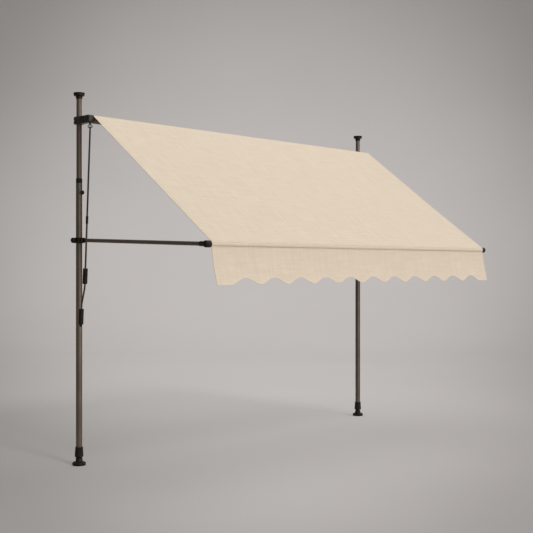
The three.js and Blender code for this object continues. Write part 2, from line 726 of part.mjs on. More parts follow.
// Crank: hook, straight rod, joint sleeve, bent handle and two turning grips, hung from the eye
function addCrank() {
  const hung = addGroup(awning, WORM_X, WORM_Y, ROLLER_Z - EYE_DROP);
  hung.rotation.y = CRANK_LEAN * DEGREE;
  const crank = addGroup(hung, 0, 0, 0);
  crank.rotation.z = CRANK_FACING * DEGREE;
  add(crank, "crank_hook", crankHook(), "steel");
  const upper = tube(CRANK_ROD_D, CRANK_ROD_WALL, -CRANK_JOINT + GAP / 2, -CRANK_ROD_TOP, SMALL_ROUND);
  add(crank, "crank_rod", upper, "metal");
  add(crank, "crank_joint_sleeve", jointSleeve(), "plastic");
  add(crank, "crank_handle", crankHandle(), "metal");
  add(crank, "upper_grip", grip(-UPPER_GRIP_AT - GRIP_LENGTH), "plastic");
  const offset = addGroup(crank, 0, -CRANK_THROW, 0);
  const gripFoot = -LOWER_GRIP_AT - GRIP_LENGTH;
  add(offset, "lower_grip", grip(gripFoot), "plastic");
  add(offset, "crank_end_cap", endCap(gripFoot - END_CAP_GAP), "plastic");
}

// Wire hook through the eye, with a shank that fills the top of the rod
function crankHook() {
  const over = -EYE_HOLE_HEIGHT / 2 + HOOK_REST_GAP + HOOK_WIRE_D / 2;
  const knee = -CRANK_ROD_TOP + HOOK_KNEE;
  const hook = bentRod([
    [HOOK_LEG, -HOOK_TIP_DROP], [HOOK_LEG, over], [-HOOK_LEG, over],
    [-HOOK_LEG, knee], [0, knee - HOOK_KNEE_DROP], [0, -CRANK_ROD_TOP - HOOK_SHANK],
  ], HOOK_WIRE_D, HOOK_BEND_R, 8);
  const ferrule = rod(CRANK_ROD_D, -CRANK_ROD_TOP + GAP, -CRANK_ROD_TOP + HOOK_FERRULE, SMALL_ROUND);
  return join(hook, ferrule);
}

function jointSleeve() {
  const low = -CRANK_JOINT - SLEEVE_LENGTH / 2;
  return tube(CRANK_ROD_D + 2 * (GAP + SLEEVE_WALL), SLEEVE_WALL, low, low + SLEEVE_LENGTH, SMALL_ROUND);
}

function crankHandle() {
  const bend = CRANK_BEND_R + GRIP_TO_BEND;
  return bentRod([
    [0, -CRANK_JOINT - GAP / 2], [0, -UPPER_GRIP_AT - GRIP_LENGTH - bend],
    [-CRANK_THROW, -LOWER_GRIP_AT + bend], [-CRANK_THROW, -LOWER_GRIP_AT - GRIP_LENGTH - HANDLE_TAIL],
  ], CRANK_ROD_D, CRANK_BEND_R, SMALL_ROUND);
}

// Barrel grip with rounded ends and finger rings, bored to turn on the rod
function grip(low) {
  const bore = CRANK_ROD_D / 2 + TUBE_PLAY;
  const r = GRIP_D / 2;
  const top = low + GRIP_LENGTH;
  const pitch = (GRIP_LENGTH - 2 * GRIP_SHOULDER) / GRIP_RINGS;
  const profile = [[bore, low], [r - 4, low], [r - 1, low + 3], [r, low + 8]];
  for (let i = 0; i < GRIP_RINGS; i++) {
    const middle = low + GRIP_SHOULDER + (i + 0.5) * pitch;
    profile.push([r, middle - pitch / 5], [r - GRIP_RING_DEPTH, middle], [r, middle + pitch / 5]);
  }
  profile.push([r, top - 8], [r - 1, top - 3], [r - 4, top], [bore, top], [bore, low]);
  return revolve(profile, SMALL_ROUND);
}

function endCap(top) {
  const bore = CRANK_ROD_D / 2 + GAP;
  const r = bore + END_CAP_WALL;
  const low = top - END_CAP_LENGTH;
  const floor = top - HANDLE_TAIL + END_CAP_GAP - GAP;
  return revolve([
    [0, low], [r - END_CAP_CHAMFER, low], [r, low + END_CAP_CHAMFER], [r, top],
    [bore, top], [bore, floor], [0, floor],
  ], SMALL_ROUND);
}

// Sliding bracket on the lower tube with two ears for the arm's pivot
function addArmSlider(pole, side, outward) {
  const group = addGroup(pole, 0, 0, ARM_Z);
  const earInner = TONGUE_THICKNESS / 2 + GAP;
  const pinHalf = earInner + EAR_THICKNESS + PIN_HEAD;
  add(group, `${side}_arm_slider`, armSlider(outward, earInner), "plastic");
  const pin = alongX(rod(PIVOT_PIN_D, -pinHalf, pinHalf, SMALL_ROUND));
  add(group, `${side}_arm_pivot_pin`, pin.translate(0, PIVOT_Y, 0), "steel");
  const shape = handKnob(ARM_KNOB_D, ARM_KNOB_LENGTH, LOWER_TUBE_D / 2 + GAP, SLIDER_HALF + GAP);
  const knob = add(group, `${side}_arm_knob`, shape, "plastic");
  knob.rotation.y = (outward * Math.PI) / 2;
}

function armSlider(outward, earInner) {
  const half = SLIDER_HEIGHT / 2;
  const outline = roundedRect(-SLIDER_HALF, -SLIDER_HALF, SLIDER_HALF, SLIDER_HALF, SLIDER_CORNER);
  const earFaces = [-earInner - EAR_THICKNESS, earInner];
  const ears = earFaces.map((low) => sidePrism(earShape(), low, low + EAR_THICKNESS));
  const bore = rod(LOWER_TUBE_D + 2 * TUBE_PLAY, -half - OVERRUN, half + OVERRUN);
  const pinBore = alongX(rod(PIVOT_PIN_D + 2 * GAP, -SLIDER_HALF, SLIDER_HALF, SMALL_ROUND));
  const knobBore = rod(KNOB_SHANK_D + 2 * GAP, 0, SLIDER_HALF + OVERRUN, SMALL_ROUND);
  knobBore.rotateY((outward * Math.PI) / 2);
  return cut(join(prism(outline, -half, half), ...ears), bore, pinBore.translate(0, PIVOT_Y, 0), knobBore);
}

function earShape() {
  const front = -PIVOT_Y;
  const foot = SLIDER_HALF - EAR_SINK;
  const shape = new THREE.Shape();
  shape.moveTo(foot, -EAR_R - EAR_ROOT);
  shape.lineTo(SLIDER_HALF, -EAR_R - EAR_ROOT);
  shape.absarc(front, 0, EAR_R, -Math.PI / 2, Math.PI / 2);
  shape.lineTo(SLIDER_HALF, EAR_R + EAR_ROOT);
  shape.lineTo(foot, EAR_R + EAR_ROOT);
  shape.closePath();
  return shape;
}

// Arms: a root with a tongue between the ears, a tube and an elbow that holds the front bar
function addArms() {
  const swing = addGroup(awning, 0, PIVOT_Y, ARM_Z);
  swing.rotation.x = ARM_DROP * DEGREE;
  for (const { name, outward } of SIDES) addArm(swing, name, outward);
  const half = POLE_SPACING / 2 + ELBOW_OUTER - GAP;
  const bar = alongX(tube(BAR_D, BAR_WALL, -half, half));
  add(swing, "front_bar", bar.translate(0, -ARM_LENGTH, 0), "metal");
}

function addArm(swing, side, outward) {
  const group = addGroup(swing, (outward * POLE_SPACING) / 2, 0, 0);
  const tubeEnd = ARM_LENGTH - ELBOW_D / 2 - 1;
  add(group, `${side}_arm_root`, armRoot(), "plastic");
  add(group, `${side}_arm_tube`, alongFront(tube(ARM_D, ARM_WALL, ARM_TUBE_START, tubeEnd)), "metal");
  add(group, `${side}_arm_elbow`, armElbow(outward, tubeEnd), "plastic");
  const cap = barCap().rotateY((outward * Math.PI) / 2);
  add(group, `${side}_bar_cap`, cap.translate(0, -ARM_LENGTH, 0), "plastic");
}

function armRoot() {
  const r = EAR_R - TONGUE_INSET;
  const half = TONGUE_THICKNESS / 2;
  const face = ARM_TUBE_START - GAP;
  const shape = new THREE.Shape();
  shape.absarc(0, 0, r, Math.PI / 2, 1.5 * Math.PI);
  shape.lineTo(face, -r);
  shape.lineTo(face, r);
  shape.closePath();
  const tongue = sidePrism(shape, -half, half, 8);
  const spigotD = ARM_D - 2 * ARM_WALL - 2 * GAP;
  const spigot = alongFront(rod(spigotD, face - OVERRUN, ARM_TUBE_START + ROOT_SPIGOT));
  const shoulder = alongFront(rod(ARM_D, ARM_TUBE_START - ROOT_SHOULDER, face));
  const pinBore = alongX(rod(PIVOT_PIN_D + 2 * GAP, -half - OVERRUN, half + OVERRUN, SMALL_ROUND));
  return cut(join(tongue, spigot, shoulder), pinBore);
}

function armElbow(outward, tubeEnd) {
  const inner = ELBOW_TO_CLOTH - CLOTH_INSET;
  const [low, high] = outward > 0 ? [inner, ELBOW_OUTER] : [-ELBOW_OUTER, -inner];
  const ring = alongX(rod(ELBOW_D, low, high)).translate(0, -ARM_LENGTH, 0);
  const socketStart = tubeEnd - ELBOW_SOCKET;
  const socket = alongFront(rod(ARM_D + 2 * ELBOW_SOCKET_WALL, socketStart, ARM_LENGTH));
  const tubeBore = alongFront(rod(ARM_D + 2 * GAP, socketStart - OVERRUN, tubeEnd + GAP));
  const barBore = alongX(rod(BAR_D + 2 * GAP, low - OVERRUN, high + OVERRUN));
  return cut(join(ring, socket), tubeBore, barBore.translate(0, -ARM_LENGTH, 0));
}

function barCap() {
  const seat = ELBOW_OUTER + GAP;
  const end = seat + BAR_CAP_LENGTH;
  const r = ELBOW_D / 2 - BAR_CAP_INSET;
  const dome = BAR_CAP_LENGTH / 3;
  return revolve([[0, seat], [r, seat], [r, end - 2 * dome], [r - dome, end - dome], [r / 2, end], [0, end]]);
}

// Canopy: laid over the roller's top and drawn straight down to the top of the pocket
function canopyShape() {
  const rollerR = ROLLER_D / 2 + TUBE_PLAY;
  const barR = POCKET_R + GAP;
  const across = BAR_FRONT + ROLLER_Y;
  const rise = ROLLER_Z - BAR_UP;
  const lean = Math.asin((rollerR - barR) / Math.hypot(across, rise));
  const normal = Math.PI / 2 - Math.atan2(rise, across) - lean;
  const lowerEnd = normal - POCKET_WRAP * DEGREE;
  const upperEnd = normal + ROLLER_WRAP * DEGREE;
  const shape = new THREE.Shape();
  shape.absarc(-ROLLER_Y, ROLLER_Z, rollerR, upperEnd, normal, true);
  shape.absarc(BAR_FRONT, BAR_UP, barR, normal, lowerEnd, true);
  shape.absarc(BAR_FRONT, BAR_UP, barR + CLOTH_THICKNESS, lowerEnd, normal, false);
  shape.absarc(-ROLLER_Y, ROLLER_Z, rollerR + CLOTH_THICKNESS, normal, upperEnd, false);
  shape.closePath();
  return shape;
}

// Valance outline in (across, down): straight sides, flat ends and rounded scallops between
function valanceShape() {
  const half = CLOTH_HALF_WIDTH;
  const notches = 2 * Math.floor((half - SCALLOP_PITCH / 2) / SCALLOP_PITCH) + 1;
  const start = (-notches * SCALLOP_PITCH) / 2;
  const steps = SCALLOP_STEPS * notches;
  const shape = new THREE.Shape();
  shape.moveTo(-half, 0);
  shape.lineTo(-half, -VALANCE_DROP);
  for (let i = 0; i <= steps; i++) {
    const along = i / SCALLOP_STEPS;
    const wave = (1 - Math.cos(along * 2 * Math.PI)) / 2;
    shape.lineTo(start + along * SCALLOP_PITCH, -VALANCE_DROP + SCALLOP_DEPTH * wave);
  }
  shape.lineTo(half, -VALANCE_DROP);
  shape.lineTo(half, 0);
  shape.closePath();
  return shape;
}

function addCloth() {
  const half = CLOTH_HALF_WIDTH;
  add(awning, "canopy_cloth", sidePrism(canopyShape(), -half, half, 6), "cloth");
  const pocket = alongX(tube(2 * POCKET_R, POCKET_WALL, -half, half));
  add(awning, "bar_pocket", pocket.translate(0, -BAR_FRONT, BAR_UP), "cloth");
  const seamR = POCKET_R + 2 * GAP;
  const seamFront = BAR_FRONT + seamR * Math.cos(VALANCE_SEAM_ANGLE * DEGREE);
  const seamUp = BAR_UP + seamR * Math.sin(VALANCE_SEAM_ANGLE * DEGREE);
  const sheet = prism(valanceShape(), -CLOTH_THICKNESS / 2, CLOTH_THICKNESS / 2).rotateX(Math.PI / 2);
  const valance = add(awning, "valance", sheet, "cloth");
  valance.rotation.x = -VALANCE_FLARE * DEGREE;
  valance.position.set(0, -seamFront, seamUp);
}

for (const { name, outward } of SIDES) {
  const pole = addGroup(awning, (outward * POLE_SPACING) / 2, 0, 0);
  addFoot(pole, name);
  addLowerPole(pole, name);
  addUpperPole(pole, name);
  addBrackets(pole, name);
  addArmSlider(pole, name, outward);
}
addRoller();
addWorm();
addCrank();
addArms();
addCloth();

export default awning;
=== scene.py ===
import json
import math

import bpy
from mathutils import Matrix, Vector, noise


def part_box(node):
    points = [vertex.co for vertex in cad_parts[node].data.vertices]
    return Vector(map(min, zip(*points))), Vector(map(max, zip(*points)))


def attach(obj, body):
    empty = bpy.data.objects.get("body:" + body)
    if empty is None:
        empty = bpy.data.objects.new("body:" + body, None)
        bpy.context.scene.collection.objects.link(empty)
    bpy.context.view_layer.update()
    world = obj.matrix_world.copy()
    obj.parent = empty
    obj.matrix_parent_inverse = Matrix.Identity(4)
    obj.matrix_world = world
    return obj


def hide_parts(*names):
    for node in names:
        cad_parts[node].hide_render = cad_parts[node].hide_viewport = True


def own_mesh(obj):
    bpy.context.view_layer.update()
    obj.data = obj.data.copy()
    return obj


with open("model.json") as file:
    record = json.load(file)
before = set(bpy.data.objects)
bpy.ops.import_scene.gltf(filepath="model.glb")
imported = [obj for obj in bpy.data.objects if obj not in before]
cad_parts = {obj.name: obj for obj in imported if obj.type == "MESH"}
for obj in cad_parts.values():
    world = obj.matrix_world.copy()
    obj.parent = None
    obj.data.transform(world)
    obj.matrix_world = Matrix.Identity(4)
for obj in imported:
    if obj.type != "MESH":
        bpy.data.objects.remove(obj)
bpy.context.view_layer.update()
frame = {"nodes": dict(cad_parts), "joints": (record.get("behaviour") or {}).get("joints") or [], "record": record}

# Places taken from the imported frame, in metres
JOINTS = {joint["name"]: joint for joint in frame["joints"]}
NODES = frame["nodes"]
SIDES = {"left": -1, "right": 1}
UP = (0, 0, 1)
POLE_X = (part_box("right_upper_tube")[0].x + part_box("right_upper_tube")[1].x) / 2
ARM_PIVOT = Vector(JOINTS["arm_swing"]["pos_m"])
BAR = Vector(JOINTS["valance_tilt"]["pos_m"])
ROLLER = Vector(JOINTS["roller_turn"]["pos_m"])
CLOTH_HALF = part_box("bar_pocket")[1].x
ROLL_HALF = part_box("roller_tube")[1].x
CRANK_DOWN = Vector(JOINTS["crank_turn"]["axis"]).normalized()

# Camera measured from the photograph
IMAGE_SIZE = 533
FOCAL_PIXELS = 968.5
CAMERA_PLACE = Vector((-5.3256, -5.4112, 1.3337))
CAMERA_YAW = math.radians(46.21)
SENSOR = 36
CLIP_END = 200
VIEW = Vector((math.sin(CAMERA_YAW), math.cos(CAMERA_YAW), 0))
VIEW_RIGHT = Vector((math.cos(CAMERA_YAW), -math.sin(CAMERA_YAW), 0))

# Tubes, collars and ceiling ends
ROUND = 64
TUBE_WALL = 0.0012
TUBE_LIP = 0.0006
BOSS_BORE = 0.0043
BOSS_RADIUS = 0.008
CAP_FLANGE = 0.015
CAP_NECK = 0.0215
CAP_BORE = 0.0183
CAP_SOCKET = 0.023
COLLAR_BORE = 0.0184
COLLAR_SPIGOT = 0.0195
COLLAR_GAP = 0.0003
TREAD_HALF = 0.0024
TREAD_FLOOR_HALF = 0.0014
PAD_TREAD = 0.001
PAD_GROOVES = 4
SOLE_TREAD = 0.0012
SOLE_GROOVES = (0.2, 0.4, 0.6, 0.8)

# Screw feet
SPINDLE_BORE = 0.0103
SPINDLE_PITCH = 0.004
SPINDLE_THREAD = 0.0018
SPINDLE_SEGMENTS = 24
RINGS_PER_PITCH = 4
BASE_FLOOR = 0.008
NUT_TOP = 0.026
NUT_SOCKET = 0.0214
NUT_SOCKET_DEPTH = 0.047
NUT_RIM = 0.009
NUT_RIBS = 14
NUT_RIB_DEPTH = 0.075
NUT_STEPS = 14
NUT_SEGMENTS = 168

# Knobs, grips, arms, roller and screw heads
KNOB_LOBES = 8
KNOB_LOBE_DEPTH = 0.13
KNOB_SCREW = 0.004
KNOB_SEGMENTS = 128
LOCK_SCREW_LENGTH = 0.011
ARM_SCREW_LENGTH = 0.009
ARM_RADIUS = 0.0125
ARM_FROM_PIVOT = 0.036
ARM_FROM_BAR = 0.022
GRIP_HALF = 0.052
GRIP_RADIUS = 0.0165
GRIP_BORE = 0.0064
GRIP_END = 0.008
GRIP_RIBS = 15
GRIP_RIB_DEPTH = 0.0011
ROLLER_WALL = 0.0026
ROLLER_GROOVES = 3
GROOVE_TURN = 0.6
GROOVE_HALF = 0.003
GROOVE_DEPTH = 0.0012
STRAP_SCREW = (0.0042, 0.0032)
STRAP_SCREW_OFFSET = 0.0232
STRAP_SCREW_LEVELS = (0.27, 0.73)
COVER_SCREW = (0.0034, 0.0022)
COVER_SCREW_INSET = (0.0065, 0.0085)
NOSE_SCREW = (0.0062, 0.0024)
PIVOT_SCREW = (0.0085, 0.003)
SCREW_SINK = 0.0004

# Cloth
CLOTH_THICKNESS = 0.0011
HEM_WIDTH = 0.024
HEM_EXTRA = 0.0007
HEM_STITCH = 0.003
FOOT_STITCH = 0.012
SEAM_STITCH = 0.006
CANOPY_GRID = (300, 130)
CANOPY_SAG = 0.007
CANOPY_LAY = 0.0287
RIPPLE_WIDE = 0.0014
RIPPLE_NARROW = 0.0004
SIDE_PULL = 0.004
SIDE_PULL_FADE = 0.12
ROLL_GRID = (60, 24)
ROLL_LAY = 0.02735
ROLL_THICKNESS = 0.0005
ROLL_ARC = math.radians(105)
POCKET_GRID = (240, 40)
POCKET_RADIUS = 0.019
POCKET_GAP = math.radians(4)
POCKET_PUCKER = 0.0004
CLOTH_ON_POCKET = 0.0206
POCKET_CLOSE = 0.0009
ROLLER_WRAP = math.radians(5)
POCKET_WRAP = math.radians(18)
VALANCE_GRID = (600, 40)
VALANCE_DROP = 0.230
VALANCE_SEAM = math.radians(314)
VALANCE_SEAM_RADIUS = 0.0197
VALANCE_HEM = 0.007
VALANCE_SIDE_HEM = 0.012
SCALLOP_PITCH = 0.248
SCALLOP_DEPTH = 0.040
SCALLOP_ROUND = 0.9
FLARE_TOP = math.radians(7)
FLARE_FOOT = math.radians(16)
FOLD_DEPTH = 0.009
FOLD_GROWTH = 1.2

# Weave and stitches
WEAVE_PITCH = 0.0016
SLUB_SCALE = 130
WEFT_STRETCH = (5, 55, 1)
WARP_STRETCH = (55, 5, 1)
CREAM_DARK = (206, 191, 170)
CREAM_LIGHT = (223, 208, 189)
THREAD = (186, 166, 138)
STITCH_PITCH = 0.006
STITCH_WIDTH = 0.0016
STITCH_GAP = 0.35

# Studio
STAGE_NEAR = -14.0
STAGE_FAR = 7.0
STAGE_BEND = 5.0
STAGE_BEND_STEPS = 24
STAGE_HIGH = 9.0
STAGE_HALF = 26.0
STAGE_PAPER = (164, 160, 158)
PAPER_MOTTLE = 4
STAGE_GLOW = (0.055, 0.28)
STAGE_GLOW_EDGE = 0.93
GLOW_COLOUR = (1, 0.965, 0.945, 1)
GLOW_WAY = (VIEW + Vector((0, 0, 0.01))).normalized()
LIT_POINT = Vector((0, -0.6, 1.4))
KEY_FROM = Vector((-0.06, -0.78, 0.62))
KEY_DISTANCE = 8
KEY_ANGLE = math.radians(14)
KEY_COLOUR = (1, 0.97, 0.93)
KEY_POWER = 0.72
TOP_PLACE = LIT_POINT + Vector((0.6, -0.9, 5.4))
TOP_SIZE = 5.0
TOP_POWER = 64
SIDE_PLACE = LIT_POINT + VIEW_RIGHT * 8.2 - VIEW * 6.2 + Vector((0, 0, 0.6))
SIDE_SIZE = (4.2, 3.6)
SIDE_POWER = 110
STRIP_PLACE = Vector((-1.75, -10.6, 2.0))
STRIP_SIZE = (1.2, 3.6)
STRIP_POWER = 130
FILL_WAY = (VIEW_RIGHT * 0.85 + Vector((0, 0, 0.5))).normalized()
FILL_REACH = (-0.35, 0.9)
FILL_COLOUR = (1, 0.985, 0.97, 1)
FILL = (0.02, 0.86)
BACKDROP_LOW = 0.16


# Mesh helpers
def add_object(name, verts, faces, material, body, sharp=35):
    mesh = bpy.data.meshes.new(name)
    mesh.from_pydata([tuple(v) for v in verts], [], faces)
    mesh.validate()
    mesh.shade_smooth()
    mesh.set_sharp_from_angle(angle=math.radians(sharp))
    mesh.materials.append(material)
    obj = bpy.data.objects.new(name, mesh)
    bpy.context.scene.collection.objects.link(obj)
    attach(obj, body)
    return obj


def placed(part, origin, direction=UP):
    """A part made along +Z, set along a direction. What stays upright keeps its front."""
    verts, faces = part
    matrix = Matrix.Translation(origin)
    if tuple(direction) != UP:
        matrix = matrix @ Vector(direction).to_track_quat("Z", "Y").to_matrix().to_4x4()
    return [matrix @ Vector(v) for v in verts], faces


def joined(*parts):
    verts = []
    faces = []
    for part_verts, part_faces in parts:
        start = len(verts)
        verts.extend(part_verts)
        faces.extend([tuple(start + i for i in face) for face in part_faces])
    return verts, faces


def half_width(node):
    low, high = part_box(node)
    return (high.x - low.x) / 2


def pole_place(sign, z=0):
    return Vector((sign * POLE_X, 0, z))


def softened(profile, radius, steps=4):
    """The same profile with each inner corner rounded by a short curve."""
    points = [Vector(p) for p in profile]
    most = 0.45
    out = [points[0]]
    for before, corner, after in zip(points, points[1:], points[2:]):
        reach = min(radius, (before - corner).length * most, (after - corner).length * most)
        start = corner + (before - corner).normalized() * reach
        end = corner + (after - corner).normalized() * reach
        for i in range(steps + 1):
            t = i / steps
            out.append(start * (1 - t) ** 2 + corner * 2 * t * (1 - t) + end * t ** 2)
    out.append(points[-1])
    return out


def lathe(profile, segments=ROUND, ring=False, shape=None):
    """Turns (radius, height) points about Z.

    A ring profile closes on itself, and shape(angle, height) varies the radius.
    """
    verts = []
    rows = []
    for radius, height in profile:
        if radius < 1e-6:
            rows.append([len(verts)])
            verts.append(Vector((0, 0, height)))
            continue
        row = []
        for i in range(segments):
            angle = 2 * math.pi * i / segments
            r = radius * (shape(angle, height) if shape else 1)
            row.append(len(verts))
            verts.append(Vector((r * math.cos(angle), r * math.sin(angle), height)))
        rows.append(row)
    pairs = list(zip(rows, rows[1:]))
    if ring:
        pairs.append((rows[-1], rows[0]))
    return verts, [face for low, high in pairs for face in band(low, high)]


def band(low, high):
    """Faces between two rows of points, either of which may be a single point."""
    count = max(len(low), len(high))
    faces = []
    for i in range(count):
        j = (i + 1) % count
        if len(low) == 1:
            faces.append((low[0], high[j], high[i]))
        elif len(high) == 1:
            faces.append((low[i], low[j], high[0]))
        else:
            faces.append((low[i], low[j], high[j], high[i]))
    return faces


def tube_shell(radius, low, high):
    inner = radius - TUBE_WALL
    profile = [
        (inner, low), (radius - TUBE_LIP, low), (radius, low + TUBE_LIP),
        (radius, high - TUBE_LIP), (radius - TUBE_LIP, high), (inner, high),
    ]
    return lathe(profile, ring=True)


def lobed(lobes, depth, low, high):
    """Radius factor of a hand wheel with rounded flutes between two heights."""
    def factor(angle, height):
        if not low <= height <= high:
            return 1
        wave = max(0, math.cos(lobes * angle)) ** 2
        return 1 - depth * wave
    return factor


def sheet_faces(columns, rows):
    """Faces of a thin closed sheet: a front grid, a back grid and the edge between them."""
    per_side = (columns + 1) * (rows + 1)
    faces = []
    for j in range(rows):
        for i in range(columns):
            a = j * (columns + 1) + i
            front = (a, a + 1, a + columns + 2, a + columns + 1)
            faces.append(front)
            faces.append(tuple(per_side + k for k in reversed(front)))
    rim = list(range(columns))
    rim += [j * (columns + 1) + columns for j in range(rows)]
    rim += [rows * (columns + 1) + i for i in range(columns, 0, -1)]
    rim += [j * (columns + 1) for j in range(rows, 0, -1)]
    for a, b in zip(rim, rim[1:] + rim[:1]):
        faces.append((b, a, per_side + a, per_side + b))
    return faces


def add_sheet(name, place, grid, material, body):
    """A cloth sheet.

    place(s, t) gives its middle point, the way it faces, its thickness and its (u, v) in metres.
    """
    columns, rows = grid
    front = []
    back = []
    coords = []
    for j in range(rows + 1):
        for i in range(columns + 1):
            point, normal, thickness, uv = place(i / columns, j / rows)
            front.append(point + normal * thickness / 2)
            back.append(point - normal * thickness / 2)
            coords.append(uv)
    faces = sheet_faces(columns, rows)
    obj = add_object(name, front + back, faces, material, body, 60)
    layer = obj.data.uv_layers.new(name="UVMap")
    coords = coords + coords
    for loop in obj.data.loops:
        layer.data[loop.index].uv = coords[loop.vertex_index]
    return obj


# Material helpers
def new_material(name):
    material = bpy.data.materials.new(name)
    material.use_nodes = True
    tree = material.node_tree
    return material, tree, tree.nodes["Principled BSDF"]


def add_node(tree, kind, values=None, **settings):
    made = tree.nodes.new(kind)
    for key, value in settings.items():
        setattr(made, key, value)
    for key, value in (values or {}).items():
        made.inputs[key].default_value = value
    return made


def noise_from(tree, coords, scale, detail=2):
    made = add_node(tree, "ShaderNodeTexNoise", {"Scale": scale, "Detail": detail})
    tree.links.new(coords, made.inputs["Vector"])
    return made.outputs["Fac"]


def ramp_from(tree, factor, stops):
    made = add_node(tree, "ShaderNodeValToRGB")
    for element, (position, colour) in zip(made.color_ramp.elements, stops):
        element.position = position
        element.color = colour
    tree.links.new(factor, made.inputs["Fac"])
    return made.outputs["Color"]


def map_from(tree, factor, reach, limits, **settings):
    """The factor's reach, spread over new limits."""
    values = {"From Min": reach[0], "From Max": reach[1], "To Min": limits[0], "To Max": limits[1]}
    made = add_node(tree, "ShaderNodeMapRange", values, **settings)
    tree.links.new(factor, made.inputs["Value"])
    return made


def math_from(tree, operation, first, second):
    made = add_node(tree, "ShaderNodeMath", operation=operation)
    for socket, value in zip(made.inputs, (first, second)):
        if isinstance(value, (int, float)):
            socket.default_value = value
        else:
            tree.links.new(value, socket)
    return made.outputs["Value"]


def vector_from(tree, operation, first, second=None):
    """A vector node whose first input is linked and whose second is a constant."""
    made = add_node(tree, "ShaderNodeVectorMath", operation=operation)
    tree.links.new(first, made.inputs[0])
    if second:
        made.inputs[1].default_value = second
    return made.outputs


def bump_from(tree, height, strength, distance, below=None):
    made = add_node(tree, "ShaderNodeBump", {"Strength": strength, "Distance": distance})
    tree.links.new(height, made.inputs["Height"])
    if below:
        tree.links.new(below, made.inputs["Normal"])
    return made.outputs["Normal"]


def linear(red, green, blue):
    """A colour written in 8-bit screen values."""
    def channel(value):
        value /= 255
        return value / 12.92 if value <= 0.04045 else ((value + 0.055) / 1.055) ** 2.4
    return channel(red), channel(green), channel(blue), 1


NOISE_REACH = (0.3, 0.7)


def hard_material(name, dark, light, metallic, roughness, grain, grain_depth, specular=0.5):
    """Painted metal, plastic or rubber: two near tones, uneven gloss and a fine surface grain."""
    material, tree, shader = new_material(name)
    coords = add_node(tree, "ShaderNodeTexCoord").outputs["Object"]
    tone = noise_from(tree, coords, 9, 5)
    speck = noise_from(tree, coords, grain)
    tone_part = math_from(tree, "MULTIPLY", tone, 0.6)
    speck_part = math_from(tree, "MULTIPLY", speck, 0.4)
    both = math_from(tree, "ADD", tone_part, speck_part)
    colour = ramp_from(tree, both, [(0.36, linear(*dark)), (0.64, linear(*light))])
    gloss = map_from(tree, tone, NOISE_REACH, roughness).outputs["Result"]
    tree.links.new(colour, shader.inputs["Base Color"])
    tree.links.new(gloss, shader.inputs["Roughness"])
    tree.links.new(bump_from(tree, speck, 0.5, grain_depth), shader.inputs["Normal"])
    shader.inputs["Metallic"].default_value = metallic
    shader.inputs["Specular IOR Level"].default_value = specular
    return material


def stripe(tree, coordinate, period):
    """A wave from 0 to 1 along one coordinate in metres."""
    turned = math_from(tree, "MULTIPLY", coordinate, 2 * math.pi / period)
    wave = math_from(tree, "SINE", turned, 0)
    return math_from(tree, "ADD", math_from(tree, "MULTIPLY", wave, 0.5), 0.5)


def near(tree, coordinate, place, width):
    """1 where the coordinate is within half a width of a place, else 0."""
    away = math_from(tree, "ABSOLUTE", math_from(tree, "SUBTRACT", coordinate, place), 0)
    return math_from(tree, "LESS_THAN", away, width / 2)


def yarn_from(tree, uv, stretch):
    """Long thin streaks of uneven yarn, drawn out along the smaller of the stretch numbers."""
    drawn = vector_from(tree, "MULTIPLY", uv, stretch)
    return noise_from(tree, drawn["Vector"], 1, 3)


def stitch_mask(tree, across, along, lines):
    """1 on the stitches of each row, else 0."""
    total = math_from(tree, "MULTIPLY", across, 0)
    for direction, place in lines:
        fixed, running = (across, along) if direction == "along" else (along, across)
        row = near(tree, fixed, place, STITCH_WIDTH)
        dash = math_from(tree, "GREATER_THAN", stripe(tree, running, STITCH_PITCH), STITCH_GAP)
        total = math_from(tree, "MAXIMUM", total, math_from(tree, "MULTIPLY", row, dash))
    return total


def canvas_material(name, stitch_lines):
    """Cream awning canvas with a plain weave, uneven yarn, and rows of stitches across or along."""
    material, tree, shader = new_material(name)
    uv = add_node(tree, "ShaderNodeUVMap", uv_map="UVMap").outputs["UV"]
    parts = add_node(tree, "ShaderNodeSeparateXYZ")
    tree.links.new(uv, parts.inputs["Vector"])
    across = parts.outputs["X"]
    along = parts.outputs["Y"]
    weave = math_from(tree, "MULTIPLY", stripe(tree, across, WEAVE_PITCH), stripe(tree, along, WEAVE_PITCH))
    slub = noise_from(tree, uv, SLUB_SCALE, 4)
    yarns = math_from(tree, "ADD", yarn_from(tree, uv, WEFT_STRETCH), yarn_from(tree, uv, WARP_STRETCH))
    tone = math_from(tree, "MULTIPLY", math_from(tree, "ADD", yarns, slub), 1 / 3)
    cream = ramp_from(tree, tone, [(0.33, linear(*CREAM_DARK)), (0.67, linear(*CREAM_LIGHT))])
    stitches = stitch_mask(tree, across, along, stitch_lines)
    mixed = add_node(tree, "ShaderNodeMix", data_type="RGBA")
    colour_in = [socket for socket in mixed.inputs if socket.type == "RGBA"]
    colour_out = [socket for socket in mixed.outputs if socket.type == "RGBA"][0]
    colour_in[1].default_value = linear(*THREAD)
    tree.links.new(cream, colour_in[0])
    tree.links.new(stitches, mixed.inputs["Factor"])
    tree.links.new(colour_out, shader.inputs["Base Color"])
    gloss = map_from(tree, slub, NOISE_REACH, (0.78, 0.94)).outputs["Result"]
    tree.links.new(gloss, shader.inputs["Roughness"])
    fine = bump_from(tree, weave, 0.35, 0.0003)
    yarn = bump_from(tree, slub, 0.4, 0.0006, fine)
    tree.links.new(bump_from(tree, stitches, 0.6, 0.0006, yarn), shader.inputs["Normal"])
    shader.inputs["Sheen Weight"].default_value = 0.12
    shader.inputs["Sheen Roughness"].default_value = 0.6
    shader.inputs["Specular IOR Level"].default_value = 0.25
    return material


